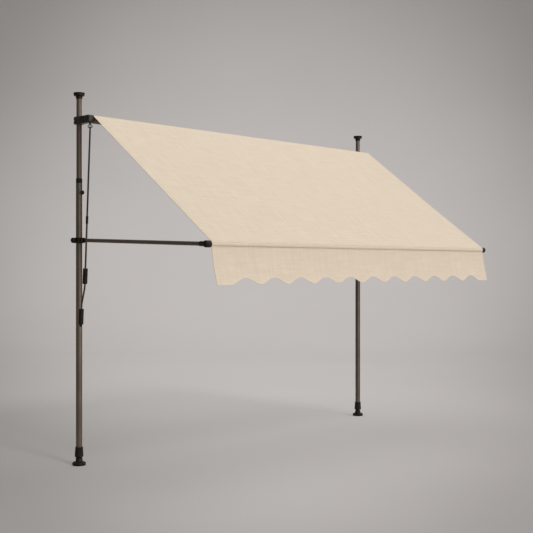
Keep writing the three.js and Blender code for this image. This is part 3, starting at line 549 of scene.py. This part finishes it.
BRONZE = hard_material(
    "bronze_coat", dark=(97, 84, 71), light=(108, 95, 82),
    metallic=0.4, roughness=(0.29, 0.36), grain=1400, grain_depth=0.00004,
)
DARK_COAT = hard_material(
    "dark_coat", dark=(46, 40, 34), light=(62, 55, 48),
    metallic=0.5, roughness=(0.3, 0.42), grain=1200, grain_depth=0.00004,
)
PLASTIC = hard_material(
    "fitting_plastic", dark=(21, 15, 10), light=(31, 24, 17),
    metallic=0, roughness=(0.34, 0.48), grain=900, grain_depth=0.00008, specular=0.22,
)
RUBBER = hard_material(
    "pad_rubber", dark=(18, 14, 10), light=(26, 21, 16),
    metallic=0, roughness=(0.66, 0.85), grain=500, grain_depth=0.00015, specular=0.12,
)
STEEL = hard_material(
    "zinc_steel", dark=(74, 70, 65), light=(98, 93, 87),
    metallic=0.85, roughness=(0.3, 0.42), grain=700, grain_depth=0.00003,
)
MATERIALS = {
    "pole_metal": BRONZE,
    "fitting_plastic": PLASTIC,
    "pad_rubber": RUBBER,
    "zinc_steel": STEEL,
}
DARK_NODES = ["crank_rod", "crank_handle", "crank_hook", "crank_eye", "gear_cover"]
DARK_NODES += [f"{side}_{part}" for side in SIDES for part in ("roller_bracket", "bracket_strap")]

hidden_nodes = set()


def add_skin(node, part, body, slot, origin, direction=UP, sharp=35):
    """A finer piece that takes the place of one CAD node."""
    verts, faces = placed(part, origin, direction)
    obj = add_object(f"{node}_skin", verts, faces, MATERIALS[slot], body, sharp)
    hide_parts(node)
    hidden_nodes.add(node)


# Nodes that keep their CAD shape get rounded edges and a material
def finish_cad_nodes():
    slots = {row["node"]: row["material_slot"] for row in frame["record"]["subparts"]}
    for name, obj in NODES.items():
        if name in hidden_nodes or slots[name] not in MATERIALS:
            continue
        obj.data.materials.clear()
        obj.data.materials.append(DARK_COAT if name in DARK_NODES else MATERIALS[slots[name]])
        obj.data.shade_smooth()
        weld = obj.modifiers.new("weld", "WELD")
        weld.merge_threshold = 0.00002
        bevel = obj.modifiers.new("edges", "BEVEL")
        bevel.width = 0.0007
        bevel.segments = 2
        bevel.limit_method = "ANGLE"
        bevel.angle_limit = math.radians(34)
        bevel.harden_normals = True


# Poles
def boss_part(radius, reach):
    """The threaded boss of the lock knob, from inside the tube's wall out to its reach."""
    inside = radius - 0.001
    profile = softened([
        (BOSS_BORE, inside), (0.0125, inside), (0.0098, radius + 0.001), (BOSS_RADIUS, radius + 0.0025),
        (BOSS_RADIUS, reach - 0.001), (BOSS_RADIUS - 0.001, reach), (BOSS_BORE, reach),
    ], 0.0008)
    return lathe(profile, segments=32, ring=True)


def add_tubes(side, sign):
    low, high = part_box(f"{side}_lower_tube")
    radius = half_width(f"{side}_lower_tube")
    knob = Vector(JOINTS[f"{side}_lock_knob_turn"]["pos_m"])
    boss = placed(boss_part(radius, -low.y), Vector((0, 0, knob.z)), (0, -1, 0))
    lower = joined(tube_shell(radius, low.z, high.z), boss)
    add_skin(f"{side}_lower_tube", lower, f"{side}_lower_pole", "pole_metal", pole_place(sign))
    low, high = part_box(f"{side}_upper_tube")
    upper = tube_shell(half_width(f"{side}_upper_tube"), low.z, high.z)
    add_skin(f"{side}_upper_tube", upper, "frame", "pole_metal", pole_place(sign))


def tread_groove(middle, face, floor):
    """Profile of one round groove in a rubber face, from its outer edge to its inner edge."""
    return [
        (middle + TREAD_HALF, face), (middle + TREAD_FLOOR_HALF, floor),
        (middle - TREAD_FLOOR_HALF, floor), (middle - TREAD_HALF, face),
    ]


def add_ceiling_end(side, sign):
    low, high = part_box(f"{side}_ceiling_pad")
    r = half_width(f"{side}_ceiling_pad")
    profile = [
        (0, low.z), (r - 0.001, low.z), (r, low.z + 0.0015),
        (r, high.z - 0.0015), (r - 0.0015, high.z),
    ]
    for i in reversed(range(PAD_GROOVES)):
        profile += tread_groove(r * (0.25 + 0.18 * i), high.z, high.z - PAD_TREAD)
    profile.append((0, high.z))
    add_skin(f"{side}_ceiling_pad", lathe(profile), "frame", "pad_rubber", pole_place(sign))
    low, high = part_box(f"{side}_ceiling_cap")
    r = half_width(f"{side}_ceiling_cap")
    flange = high.z - CAP_FLANGE
    profile = softened([
        (0, low.z + CAP_SOCKET), (CAP_BORE, low.z + CAP_SOCKET), (CAP_BORE, low.z),
        (CAP_NECK, low.z), (CAP_NECK, flange - 0.007), (CAP_NECK + 0.003, flange - 0.002),
        (r - 0.003, flange), (r, flange + 0.003), (r, high.z), (0, high.z),
    ], 0.0012)
    add_skin(f"{side}_ceiling_cap", lathe(profile), "frame", "fitting_plastic", pole_place(sign))


def add_collar(side, sign):
    low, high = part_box(f"{side}_pole_collar")
    outer = half_width(f"{side}_pole_collar")
    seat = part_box(f"{side}_lower_tube")[1].z + COLLAR_GAP
    waist = outer - 0.0008
    profile = softened([
        (COLLAR_BORE, low.z), (COLLAR_SPIGOT, low.z), (COLLAR_SPIGOT, seat), (outer, seat),
        (outer, seat + 0.004), (waist, seat + 0.005), (waist, seat + 0.008), (outer, seat + 0.009),
        (outer, high.z - 0.003), (outer - 0.0016, high.z),
        (COLLAR_BORE + 0.0004, high.z), (COLLAR_BORE, high.z - 0.001),
    ], 0.0008)
    collar = lathe(profile, ring=True)
    add_skin(f"{side}_pole_collar", collar, f"{side}_lower_pole", "fitting_plastic", pole_place(sign))


# Screw feet
def add_sole(side, sign):
    low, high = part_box(f"{side}_foot_sole")
    r = half_width(f"{side}_foot_sole")
    profile = [(0, low.z)]
    for share in SOLE_GROOVES:
        profile += reversed(tread_groove(r * share, low.z, low.z + SOLE_TREAD))
    profile += [(r - 0.0015, low.z), (r, low.z + 0.0015), (r, high.z), (0, high.z)]
    add_skin(f"{side}_foot_sole", lathe(profile), f"{side}_foot", "pad_rubber", pole_place(sign))


def add_base(side, sign):
    low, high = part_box(f"{side}_foot_base")
    r = half_width(f"{side}_foot_base")
    profile = softened([
        (0, low.z), (r - 0.001, low.z), (r, low.z + 0.002), (r, low.z + 0.009),
        (r - 0.004, low.z + 0.014), (0.026, low.z + 0.020), (0.0235, low.z + 0.024),
        (0.022, high.z - 0.002), (0.0205, high.z), (SPINDLE_BORE, high.z),
        (SPINDLE_BORE, low.z + BASE_FLOOR), (0, low.z + BASE_FLOOR),
    ], 0.002)
    add_skin(f"{side}_foot_base", lathe(profile), f"{side}_foot", "fitting_plastic", pole_place(sign))


def add_spindle(side, sign):
    """A screw whose thread is one helix, closed by a flat at each end."""
    low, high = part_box(f"{side}_foot_spindle")
    r = half_width(f"{side}_foot_spindle")
    root = r - SPINDLE_THREAD
    rings = round((high.z - low.z) / SPINDLE_PITCH * RINGS_PER_PITCH)
    verts = [Vector((0, 0, low.z))]
    rows = [[0]]
    for j in range(rings + 1):
        z = low.z + (high.z - low.z) * j / rings
        rows.append([len(verts) + i for i in range(SPINDLE_SEGMENTS)])
        for i in range(SPINDLE_SEGMENTS):
            turn = i / SPINDLE_SEGMENTS
            phase = (z / SPINDLE_PITCH - turn) % 1
            tooth = 1 - abs(2 * phase - 1)
            radius = root + (r - root) * min(1, tooth * 1.3)
            angle = 2 * math.pi * turn
            verts.append(Vector((radius * math.cos(angle), radius * math.sin(angle), z)))
    rows.append([len(verts)])
    verts.append(Vector((0, 0, high.z)))
    faces = [face for a, b in zip(rows, rows[1:]) for face in band(a, b)]
    part = verts, faces
    add_skin(f"{side}_foot_spindle", part, f"{side}_foot", "zinc_steel", pole_place(sign), sharp=60)


def add_nut(side, sign):
    low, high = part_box(f"{side}_foot_nut")
    foot = half_width(f"{side}_foot_nut")
    shoulder = high.z - NUT_SOCKET_DEPTH
    profile = [(SPINDLE_BORE, shoulder), (SPINDLE_BORE, low.z)]
    profile += [(foot - 0.002, low.z), (foot, low.z + 0.002), (foot, low.z + 0.008)]
    for i in range(NUT_STEPS + 1):
        t = i / NUT_STEPS
        radius = foot + (NUT_TOP - foot) * t - 0.0002
        profile.append((radius, low.z + NUT_RIM + (high.z - low.z - 2 * NUT_RIM) * t))
    profile += [(NUT_TOP, high.z - 0.008), (NUT_TOP, high.z - 0.0015), (NUT_TOP - 0.0012, high.z)]
    profile += [(NUT_SOCKET, high.z), (NUT_SOCKET, shoulder)]
    ribs = lobed(NUT_RIBS, NUT_RIB_DEPTH, low.z + 0.0085, high.z - 0.0085)
    nut = lathe(profile, segments=NUT_SEGMENTS, ring=True, shape=ribs)
    add_skin(f"{side}_foot_nut", nut, f"{side}_foot_nut", "fitting_plastic", pole_place(sign))


# Hand knobs
def knob_part(radius, tip, seat, end):
    """A fluted knob with a domed end. Its screw runs from the tip to the seat."""
    dome = (end - seat) * 0.28
    flutes = lobed(KNOB_LOBES, KNOB_LOBE_DEPTH, seat + 0.002, end - dome * 0.45)
    profile = softened([
        (0, tip), (KNOB_SCREW - 0.0004, tip), (KNOB_SCREW, tip + 0.0006), (KNOB_SCREW, seat),
        (radius * 0.6, seat), (radius * 0.64, seat + 0.0028), (radius * 0.94, seat + 0.0034),
        (radius, seat + 0.0055), (radius, end - dome), (radius * 0.9, end - dome * 0.5),
        (radius * 0.6, end - dome * 0.1), (radius * 0.3, end), (0, end),
    ], 0.0016)
    return lathe(profile, segments=KNOB_SEGMENTS, shape=flutes)


def add_knobs(side, sign):
    lock = f"{side}_lock_knob"
    low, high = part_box(lock)
    part = knob_part(half_width(lock), -high.y, -high.y + LOCK_SCREW_LENGTH, -low.y)
    place = pole_place(sign, (low.z + high.z) / 2)
    add_skin(lock, part, lock, "fitting_plastic", place, (0, -1, 0))
    arm = f"{side}_arm_knob"
    low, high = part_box(arm)
    tip = min(abs(low.x), abs(high.x)) - POLE_X
    end = max(abs(low.x), abs(high.x)) - POLE_X
    part = knob_part((high.z - low.z) / 2, tip, tip + ARM_SCREW_LENGTH, end)
    place = pole_place(sign, (low.z + high.z) / 2)
    add_skin(arm, part, arm, "fitting_plastic", place, (sign, 0, 0))


# Arms, front bar and roller
def add_arm(side, sign):
    forward = BAR - ARM_PIVOT
    place = Vector((sign * POLE_X, ARM_PIVOT.y, ARM_PIVOT.z))
    shell = tube_shell(ARM_RADIUS, ARM_FROM_PIVOT, forward.length - ARM_FROM_BAR)
    add_skin(f"{side}_arm_tube", shell, "arms", "pole_metal", place, forward.normalized())
    low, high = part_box(f"{side}_bar_cap")
    inner = min(abs(low.x), abs(high.x))
    outer = max(abs(low.x), abs(high.x))
    depth = outer - inner
    dimple = outer - 0.0012
    r = (high.z - low.z) / 2
    profile = softened([
        (0, inner), (r, inner), (r, inner + depth * 0.4), (r * 0.82, inner + depth * 0.8),
        (r * 0.45, outer), (r * 0.24, outer), (r * 0.2, dimple), (0, dimple),
    ], 0.0035)
    place = Vector((0, BAR.y, BAR.z))
    add_skin(f"{side}_bar_cap", lathe(profile), "arms", "fitting_plastic", place, (sign, 0, 0))


def add_bar():
    low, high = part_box("front_bar")
    shell = tube_shell((high.z - low.z) / 2, low.x, high.x)
    add_skin("front_bar", shell, "arms", "pole_metal", Vector((0, BAR.y, BAR.z)), (1, 0, 0))


def add_roller():
    low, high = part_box("roller_tube")
    radius = (high.z - low.z) / 2
    inner = radius - ROLLER_WALL

    def grooved(angle, height):
        for i in range(ROLLER_GROOVES):
            groove = GROOVE_TURN + 2 * i * math.pi / ROLLER_GROOVES
            away = abs((angle - groove + math.pi) % (2 * math.pi) - math.pi) * radius
            if away < GROOVE_HALF:
                return 1 - GROOVE_DEPTH / radius
        return 1

    profile = [(inner, low.x), (radius, low.x), (radius, high.x), (inner, high.x)]
    shell = lathe(profile, segments=120, ring=True, shape=grooved)
    add_skin("roller_tube", shell, "roller", "pole_metal", ROLLER, (1, 0, 0), sharp=25)


# Crank grips, each on a body of its own name
def add_grip(name):
    low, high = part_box(name)
    r = GRIP_RADIUS
    root = r - GRIP_RIB_DEPTH
    end = [(GRIP_BORE, -GRIP_HALF), (r - 0.005, -GRIP_HALF)]
    end += [(r - 0.0022, -GRIP_HALF + 0.0015), (r - 0.0006, -GRIP_HALF + 0.005)]
    pitch = (2 * GRIP_HALF - 2 * GRIP_END) / GRIP_RIBS
    profile = list(end)
    for i in range(GRIP_RIBS):
        z = -GRIP_HALF + GRIP_END + pitch * i
        profile += [(r, z + pitch * 0.2), (r, z + pitch * 0.55)]
        profile += [(root, z + pitch * 0.7), (root, z + pitch * 0.95)]
    profile += [(radius, -height) for radius, height in reversed(end)]
    grip = lathe(profile, segments=48, ring=True)
    add_skin(name, grip, name, "fitting_plastic", (low + high) / 2, CRANK_DOWN)


# Screw heads on the brackets, the gear cover and the arm pivots
def screw_part(radius, height):
    """A round head with a hexagon socket."""
    key = radius * 0.55
    profile = softened([
        (0, -SCREW_SINK), (radius, -SCREW_SINK), (radius, height * 0.6),
        (radius * 0.82, height), (key, height),
    ], 0.0008)
    head = lathe(profile, segments=32)
    socket = lathe([(key, height), (key, height * 0.35), (0, height * 0.35)], segments=6)
    return joined(head, socket)


def strap_screws(side, sign):
    low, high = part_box(f"{side}_bracket_strap")
    parts = []
    for offset in (-STRAP_SCREW_OFFSET, STRAP_SCREW_OFFSET):
        for level in STRAP_SCREW_LEVELS:
            place = Vector((sign * POLE_X + offset, high.y, low.z + (high.z - low.z) * level))
            parts.append(placed(screw_part(*STRAP_SCREW), place, (0, 1, 0)))
    return parts


def cover_screws():
    low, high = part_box("gear_cover")
    inset_y, inset_z = COVER_SCREW_INSET
    parts = []
    for y in (low.y + inset_y, high.y - inset_y):
        for z in (low.z + inset_z, high.z - inset_z):
            parts.append(placed(screw_part(*COVER_SCREW), Vector((low.x, y, z)), (-1, 0, 0)))
    return parts


def nose_screw():
    low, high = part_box("left_roller_bracket")
    place = Vector((JOINTS["worm_turn"]["pos_m"][0], low.y, (low.z + high.z) / 2))
    return placed(screw_part(*NOSE_SCREW), place, (0, -1, 0))


def pivot_screws(side):
    low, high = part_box(f"{side}_arm_pivot_pin")
    middle = (low + high) / 2
    parts = []
    for end, way in ((low.x, -1), (high.x, 1)):
        place = Vector((end, middle.y, middle.z))
        parts.append(placed(screw_part(*PIVOT_SCREW), place, (way, 0, 0)))
    return parts


def add_screws():
    parts = []
    for side, sign in SIDES.items():
        parts += strap_screws(side, sign)
    parts += cover_screws()
    parts.append(nose_screw())
    for side in SIDES:
        parts += pivot_screws(side)
    verts, faces = joined(*parts)
    add_object("frame_screws", verts, faces, STEEL, "frame")


# Cloth
def cloth_line():
    """The canopy's side line: the angle of its outward normal and its straight length."""
    across = ROLLER.y - BAR.y
    rise = ROLLER.z - BAR.z
    distance = math.hypot(across, rise)
    step = CANOPY_LAY - CLOTH_ON_POCKET
    normal = math.pi / 2 - math.atan2(rise, across) - math.asin(step / distance)
    return normal, math.sqrt(distance ** 2 - step ** 2)


NORMAL_ANGLE, CLOTH_STRAIGHT = cloth_line()
ROLLER_ARC = CANOPY_LAY * ROLLER_WRAP
POCKET_ARC = CLOTH_ON_POCKET * POCKET_WRAP
CLOTH_LENGTH = ROLLER_ARC + CLOTH_STRAIGHT + POCKET_ARC


def side_point(centre, radius, angle):
    return Vector((0, centre.y - radius * math.cos(angle), centre.z + radius * math.sin(angle)))


def side_normal(angle):
    return Vector((0, -math.cos(angle), math.sin(angle)))


def across_cloth(s):
    return -CLOTH_HALF + 2 * CLOTH_HALF * s


def ripple(x, run):
    wide = noise.noise(Vector((x * 1.7, run * 2.3, 0.4))) * RIPPLE_WIDE
    narrow = noise.noise(Vector((x * 5.0, run * 1.6, 2.7))) * RIPPLE_NARROW
    return wide + narrow


def canopy_place(s, t):
    x = across_cloth(s)
    run = CLOTH_LENGTH * t
    edge = CLOTH_HALF - abs(x)
    thickness = CLOTH_THICKNESS + (HEM_EXTRA if edge < HEM_WIDTH else 0)
    uv = (x, run)
    if run < ROLLER_ARC:
        angle = NORMAL_ANGLE + ROLLER_WRAP - run / CANOPY_LAY
        point = side_point(ROLLER, CANOPY_LAY, angle) + Vector((x, 0, 0))
        return point, side_normal(angle), thickness, uv
    if run > ROLLER_ARC + CLOTH_STRAIGHT:
        past = run - ROLLER_ARC - CLOTH_STRAIGHT
        angle = NORMAL_ANGLE - past / CLOTH_ON_POCKET
        radius = CLOTH_ON_POCKET - POCKET_CLOSE * (past / POCKET_ARC) ** 2
        point = side_point(BAR, radius, angle) + Vector((x, 0, 0))
        return point, side_normal(angle), thickness, uv
    share = (run - ROLLER_ARC) / CLOTH_STRAIGHT
    start = side_point(ROLLER, CANOPY_LAY, NORMAL_ANGLE)
    end = side_point(BAR, CLOTH_ON_POCKET, NORMAL_ANGLE)
    slack = 4 * share * (1 - share)
    fall = slack * (CANOPY_SAG * (0.8 + 0.2 * math.cos(x * 2.1)) - ripple(x, run))
    pull = slack * SIDE_PULL * math.exp(-edge / SIDE_PULL_FADE)
    inward = -math.copysign(pull, x)
    normal = side_normal(NORMAL_ANGLE)
    point = start.lerp(end, share) - normal * fall + Vector((x + inward, 0, 0))
    return point, normal, thickness, uv


def add_canopy():
    side_row = CLOTH_HALF - HEM_WIDTH + HEM_STITCH
    lines = [("along", -side_row), ("along", side_row), ("across", CLOTH_LENGTH - FOOT_STITCH)]
    material = canvas_material("canopy_canvas", lines)
    obj = add_sheet("canopy_skin", canopy_place, CANOPY_GRID, material, "canopy")
    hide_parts("canopy_cloth")
    hidden_nodes.add("canopy_cloth")
    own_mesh(obj)


def roll_place(s, t):
    x = -ROLL_HALF + 2 * ROLL_HALF * s
    angle = NORMAL_ANGLE + ROLL_ARC * t
    point = side_point(ROLLER, ROLL_LAY, angle) + Vector((x, 0, 0))
    return point, side_normal(angle), ROLL_THICKNESS, (x, ROLL_LAY * ROLL_ARC * t)


def add_roll():
    """The cloth that lies over the roller's top and back, in every pose."""
    material = canvas_material("roll_canvas", [])
    obj = add_sheet("roller_wrap_skin", roll_place, ROLL_GRID, material, "frame")


def pocket_place(s, t):
    x = across_cloth(s)
    start = VALANCE_SEAM - 2 * math.pi + POCKET_GAP / 2
    angle = start + (2 * math.pi - POCKET_GAP) * t
    pucker = noise.noise(Vector((x * 9, t * 5, 1.3))) * POCKET_PUCKER
    radius = POCKET_RADIUS - CLOTH_THICKNESS / 2 + pucker - POCKET_PUCKER
    point = side_point(BAR, radius, angle) + Vector((x, 0, 0))
    return point, side_normal(angle), CLOTH_THICKNESS, (x, POCKET_RADIUS * 2 * math.pi * t)


def add_pocket():
    last_row = POCKET_RADIUS * 2 * math.pi - SEAM_STITCH
    material = canvas_material("pocket_canvas", [("across", SEAM_STITCH), ("across", last_row)])
    obj = add_sheet("bar_pocket_skin", pocket_place, POCKET_GRID, material, "canopy")
    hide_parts("bar_pocket")
    hidden_nodes.add("bar_pocket")


def scallop(x):
    """Length of the valance at a place across: flat ends, and notches between rounded lobes."""
    notches = 2 * math.floor((CLOTH_HALF - SCALLOP_PITCH / 2) / SCALLOP_PITCH) + 1
    reach = notches * SCALLOP_PITCH / 2
    if abs(x) >= reach:
        return VALANCE_DROP
    wave = (1 + math.cos(2 * math.pi * x / SCALLOP_PITCH)) / 2
    return VALANCE_DROP - SCALLOP_DEPTH * wave ** SCALLOP_ROUND


def valance_place(s, t):
    x = across_cloth(s)
    length = scallop(x)
    run = length * t
    seam = side_point(BAR, VALANCE_SEAM_RADIUS, VALANCE_SEAM)
    share = run / VALANCE_DROP
    lean = FLARE_TOP + (FLARE_FOOT - FLARE_TOP) * share / 2
    point = seam + Vector((x, -math.sin(lean) * run, -math.cos(lean) * run))
    normal = side_normal(lean)
    fold = noise.noise(Vector((x * 2.6, share * 0.6, 5.1)))
    fold += 0.5 * noise.noise(Vector((x * 6.5, share, 8.2)))
    point += normal * FOLD_DEPTH * fold * share ** FOLD_GROWTH
    hem = length - run < VALANCE_HEM or CLOTH_HALF - abs(x) < VALANCE_SIDE_HEM
    thickness = CLOTH_THICKNESS + (HEM_EXTRA if hem else 0)
    return point, normal, thickness, (x, run)


def add_valance():
    material = canvas_material("valance_canvas", [("across", SEAM_STITCH)])
    obj = add_sheet("valance_skin", valance_place, VALANCE_GRID, material, "valance")
    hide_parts("valance")
    hidden_nodes.add("valance")


# Stage, light and camera
def stage_glow(tree, coords):
    """A pool of light on the paper, measured as a cone from one fixed point in front of it."""
    offset = vector_from(tree, "SUBTRACT", coords, CAMERA_PLACE)["Vector"]
    way = vector_from(tree, "NORMALIZE", offset)["Vector"]
    inward = vector_from(tree, "DOT_PRODUCT", way, GLOW_WAY)["Value"]
    fade = map_from(tree, inward, (STAGE_GLOW_EDGE, 1), STAGE_GLOW, interpolation_type="SMOOTHSTEP")
    return fade.outputs["Result"]


def seen_from(tree):
    """1 for rays from the camera and for what shines or lets light through, else 0."""
    path = add_node(tree, "ShaderNodeLightPath").outputs
    mirrored = math_from(tree, "MAXIMUM", path["Is Glossy Ray"], path["Is Transmission Ray"])
    return math_from(tree, "MAXIMUM", path["Is Camera Ray"], mirrored)


def paper_material():
    """Studio paper, seen with a little extra glow that is strongest behind the object."""
    material, tree, shader = new_material("studio_paper")
    coords = add_node(tree, "ShaderNodeTexCoord").outputs["Object"]
    mottle = noise_from(tree, coords, 0.5, 3)
    light = [value + PAPER_MOTTLE for value in STAGE_PAPER]
    paper = ramp_from(tree, mottle, [(0.3, linear(*STAGE_PAPER)), (0.7, linear(*light))])
    glow = math_from(tree, "MULTIPLY", stage_glow(tree, coords), seen_from(tree))
    tree.links.new(paper, shader.inputs["Base Color"])
    tree.links.new(glow, shader.inputs["Emission Strength"])
    shader.inputs["Emission Color"].default_value = GLOW_COLOUR
    shader.inputs["Roughness"].default_value = 0.95
    shader.inputs["Specular IOR Level"].default_value = 0.05
    return material


def add_stage():
    """A seamless sweep: a floor that bends up into a wall."""
    line = [(STAGE_NEAR, 0.0)]
    for i in range(STAGE_BEND_STEPS + 1):
        angle = math.pi / 2 * i / STAGE_BEND_STEPS
        depth = STAGE_FAR + STAGE_BEND * math.sin(angle)
        line.append((depth, STAGE_BEND * (1 - math.cos(angle))))
    line.append((STAGE_FAR + STAGE_BEND, STAGE_HIGH))
    verts = []
    for depth, height in line:
        for side in (-STAGE_HALF, STAGE_HALF):
            verts.append(VIEW * depth + VIEW_RIGHT * side + Vector((0, 0, height)))
    faces = [(2 * i, 2 * i + 1, 2 * i + 3, 2 * i + 2) for i in range(len(line) - 1)]
    mesh = bpy.data.meshes.new("studio_sweep")
    mesh.from_pydata([tuple(v) for v in verts], [], faces)
    mesh.shade_smooth()
    mesh.materials.append(paper_material())
    sweep = bpy.data.objects.new("studio_sweep", mesh)
    bpy.context.scene.collection.objects.link(sweep)


def add_lamp(name, kind, place, power, **settings):
    """A lamp that points at the middle of the object."""
    data = bpy.data.lights.new(name, kind)
    data.energy = power
    for key, value in settings.items():
        setattr(data, key, value)
    lamp = bpy.data.objects.new(name, data)
    lamp.location = place
    lamp.rotation_euler = (LIT_POINT - place).to_track_quat("-Z", "Y").to_euler()
    bpy.context.scene.collection.objects.link(lamp)


def add_panel(name, place, power, size):
    add_lamp(name, "AREA", place, power, shape="RECTANGLE", size=size[0], size_y=size[1])


def add_light():
    key_place = LIT_POINT + KEY_FROM * KEY_DISTANCE
    add_lamp("key", "SUN", key_place, KEY_POWER, angle=KEY_ANGLE, color=KEY_COLOUR)
    add_lamp("top", "AREA", TOP_PLACE, TOP_POWER, shape="DISK", size=TOP_SIZE)
    add_panel("side", SIDE_PLACE, SIDE_POWER, SIDE_SIZE)
    add_panel("strip", STRIP_PLACE, STRIP_POWER, STRIP_SIZE)
    add_world()


def add_world():
    """Studio fill that is dim from the left and bright from the right, seen no darker than a mid grey."""
    world = bpy.data.worlds.new("studio")
    world.use_nodes = True
    tree = world.node_tree
    fill = tree.nodes["Background"]
    fill.inputs["Color"].default_value = FILL_COLOUR
    coords = add_node(tree, "ShaderNodeTexCoord").outputs["Generated"]
    way = vector_from(tree, "DOT_PRODUCT", coords, FILL_WAY)["Value"]
    level = map_from(tree, way, FILL_REACH, FILL)
    seen_low = math_from(tree, "MULTIPLY", seen_from(tree), BACKDROP_LOW)
    tree.links.new(math_from(tree, "MAXIMUM", seen_low, FILL[0]), level.inputs["To Min"])
    tree.links.new(level.outputs["Result"], fill.inputs["Strength"])
    bpy.context.scene.world = world


def add_camera():
    data = bpy.data.cameras.new("camera")
    data.sensor_width = SENSOR
    data.lens = SENSOR * FOCAL_PIXELS / IMAGE_SIZE
    data.clip_end = CLIP_END
    camera = bpy.data.objects.new("camera", data)
    camera.location = CAMERA_PLACE
    camera.rotation_euler = (math.pi / 2, 0, -CAMERA_YAW)
    bpy.context.scene.collection.objects.link(camera)
    bpy.context.scene.camera = camera


for side, sign in SIDES.items():
    add_tubes(side, sign)
    add_ceiling_end(side, sign)
    add_collar(side, sign)
    add_sole(side, sign)
    add_base(side, sign)
    add_spindle(side, sign)
    add_nut(side, sign)
    add_knobs(side, sign)
    add_arm(side, sign)
add_bar()
add_roller()
add_grip("upper_grip")
add_grip("lower_grip")
add_screws()
add_pocket()
add_roll()
add_canopy()
add_valance()
finish_cad_nodes()
add_stage()
add_light()
add_camera()
bpy.context.scene.view_settings.view_transform = "Standard"
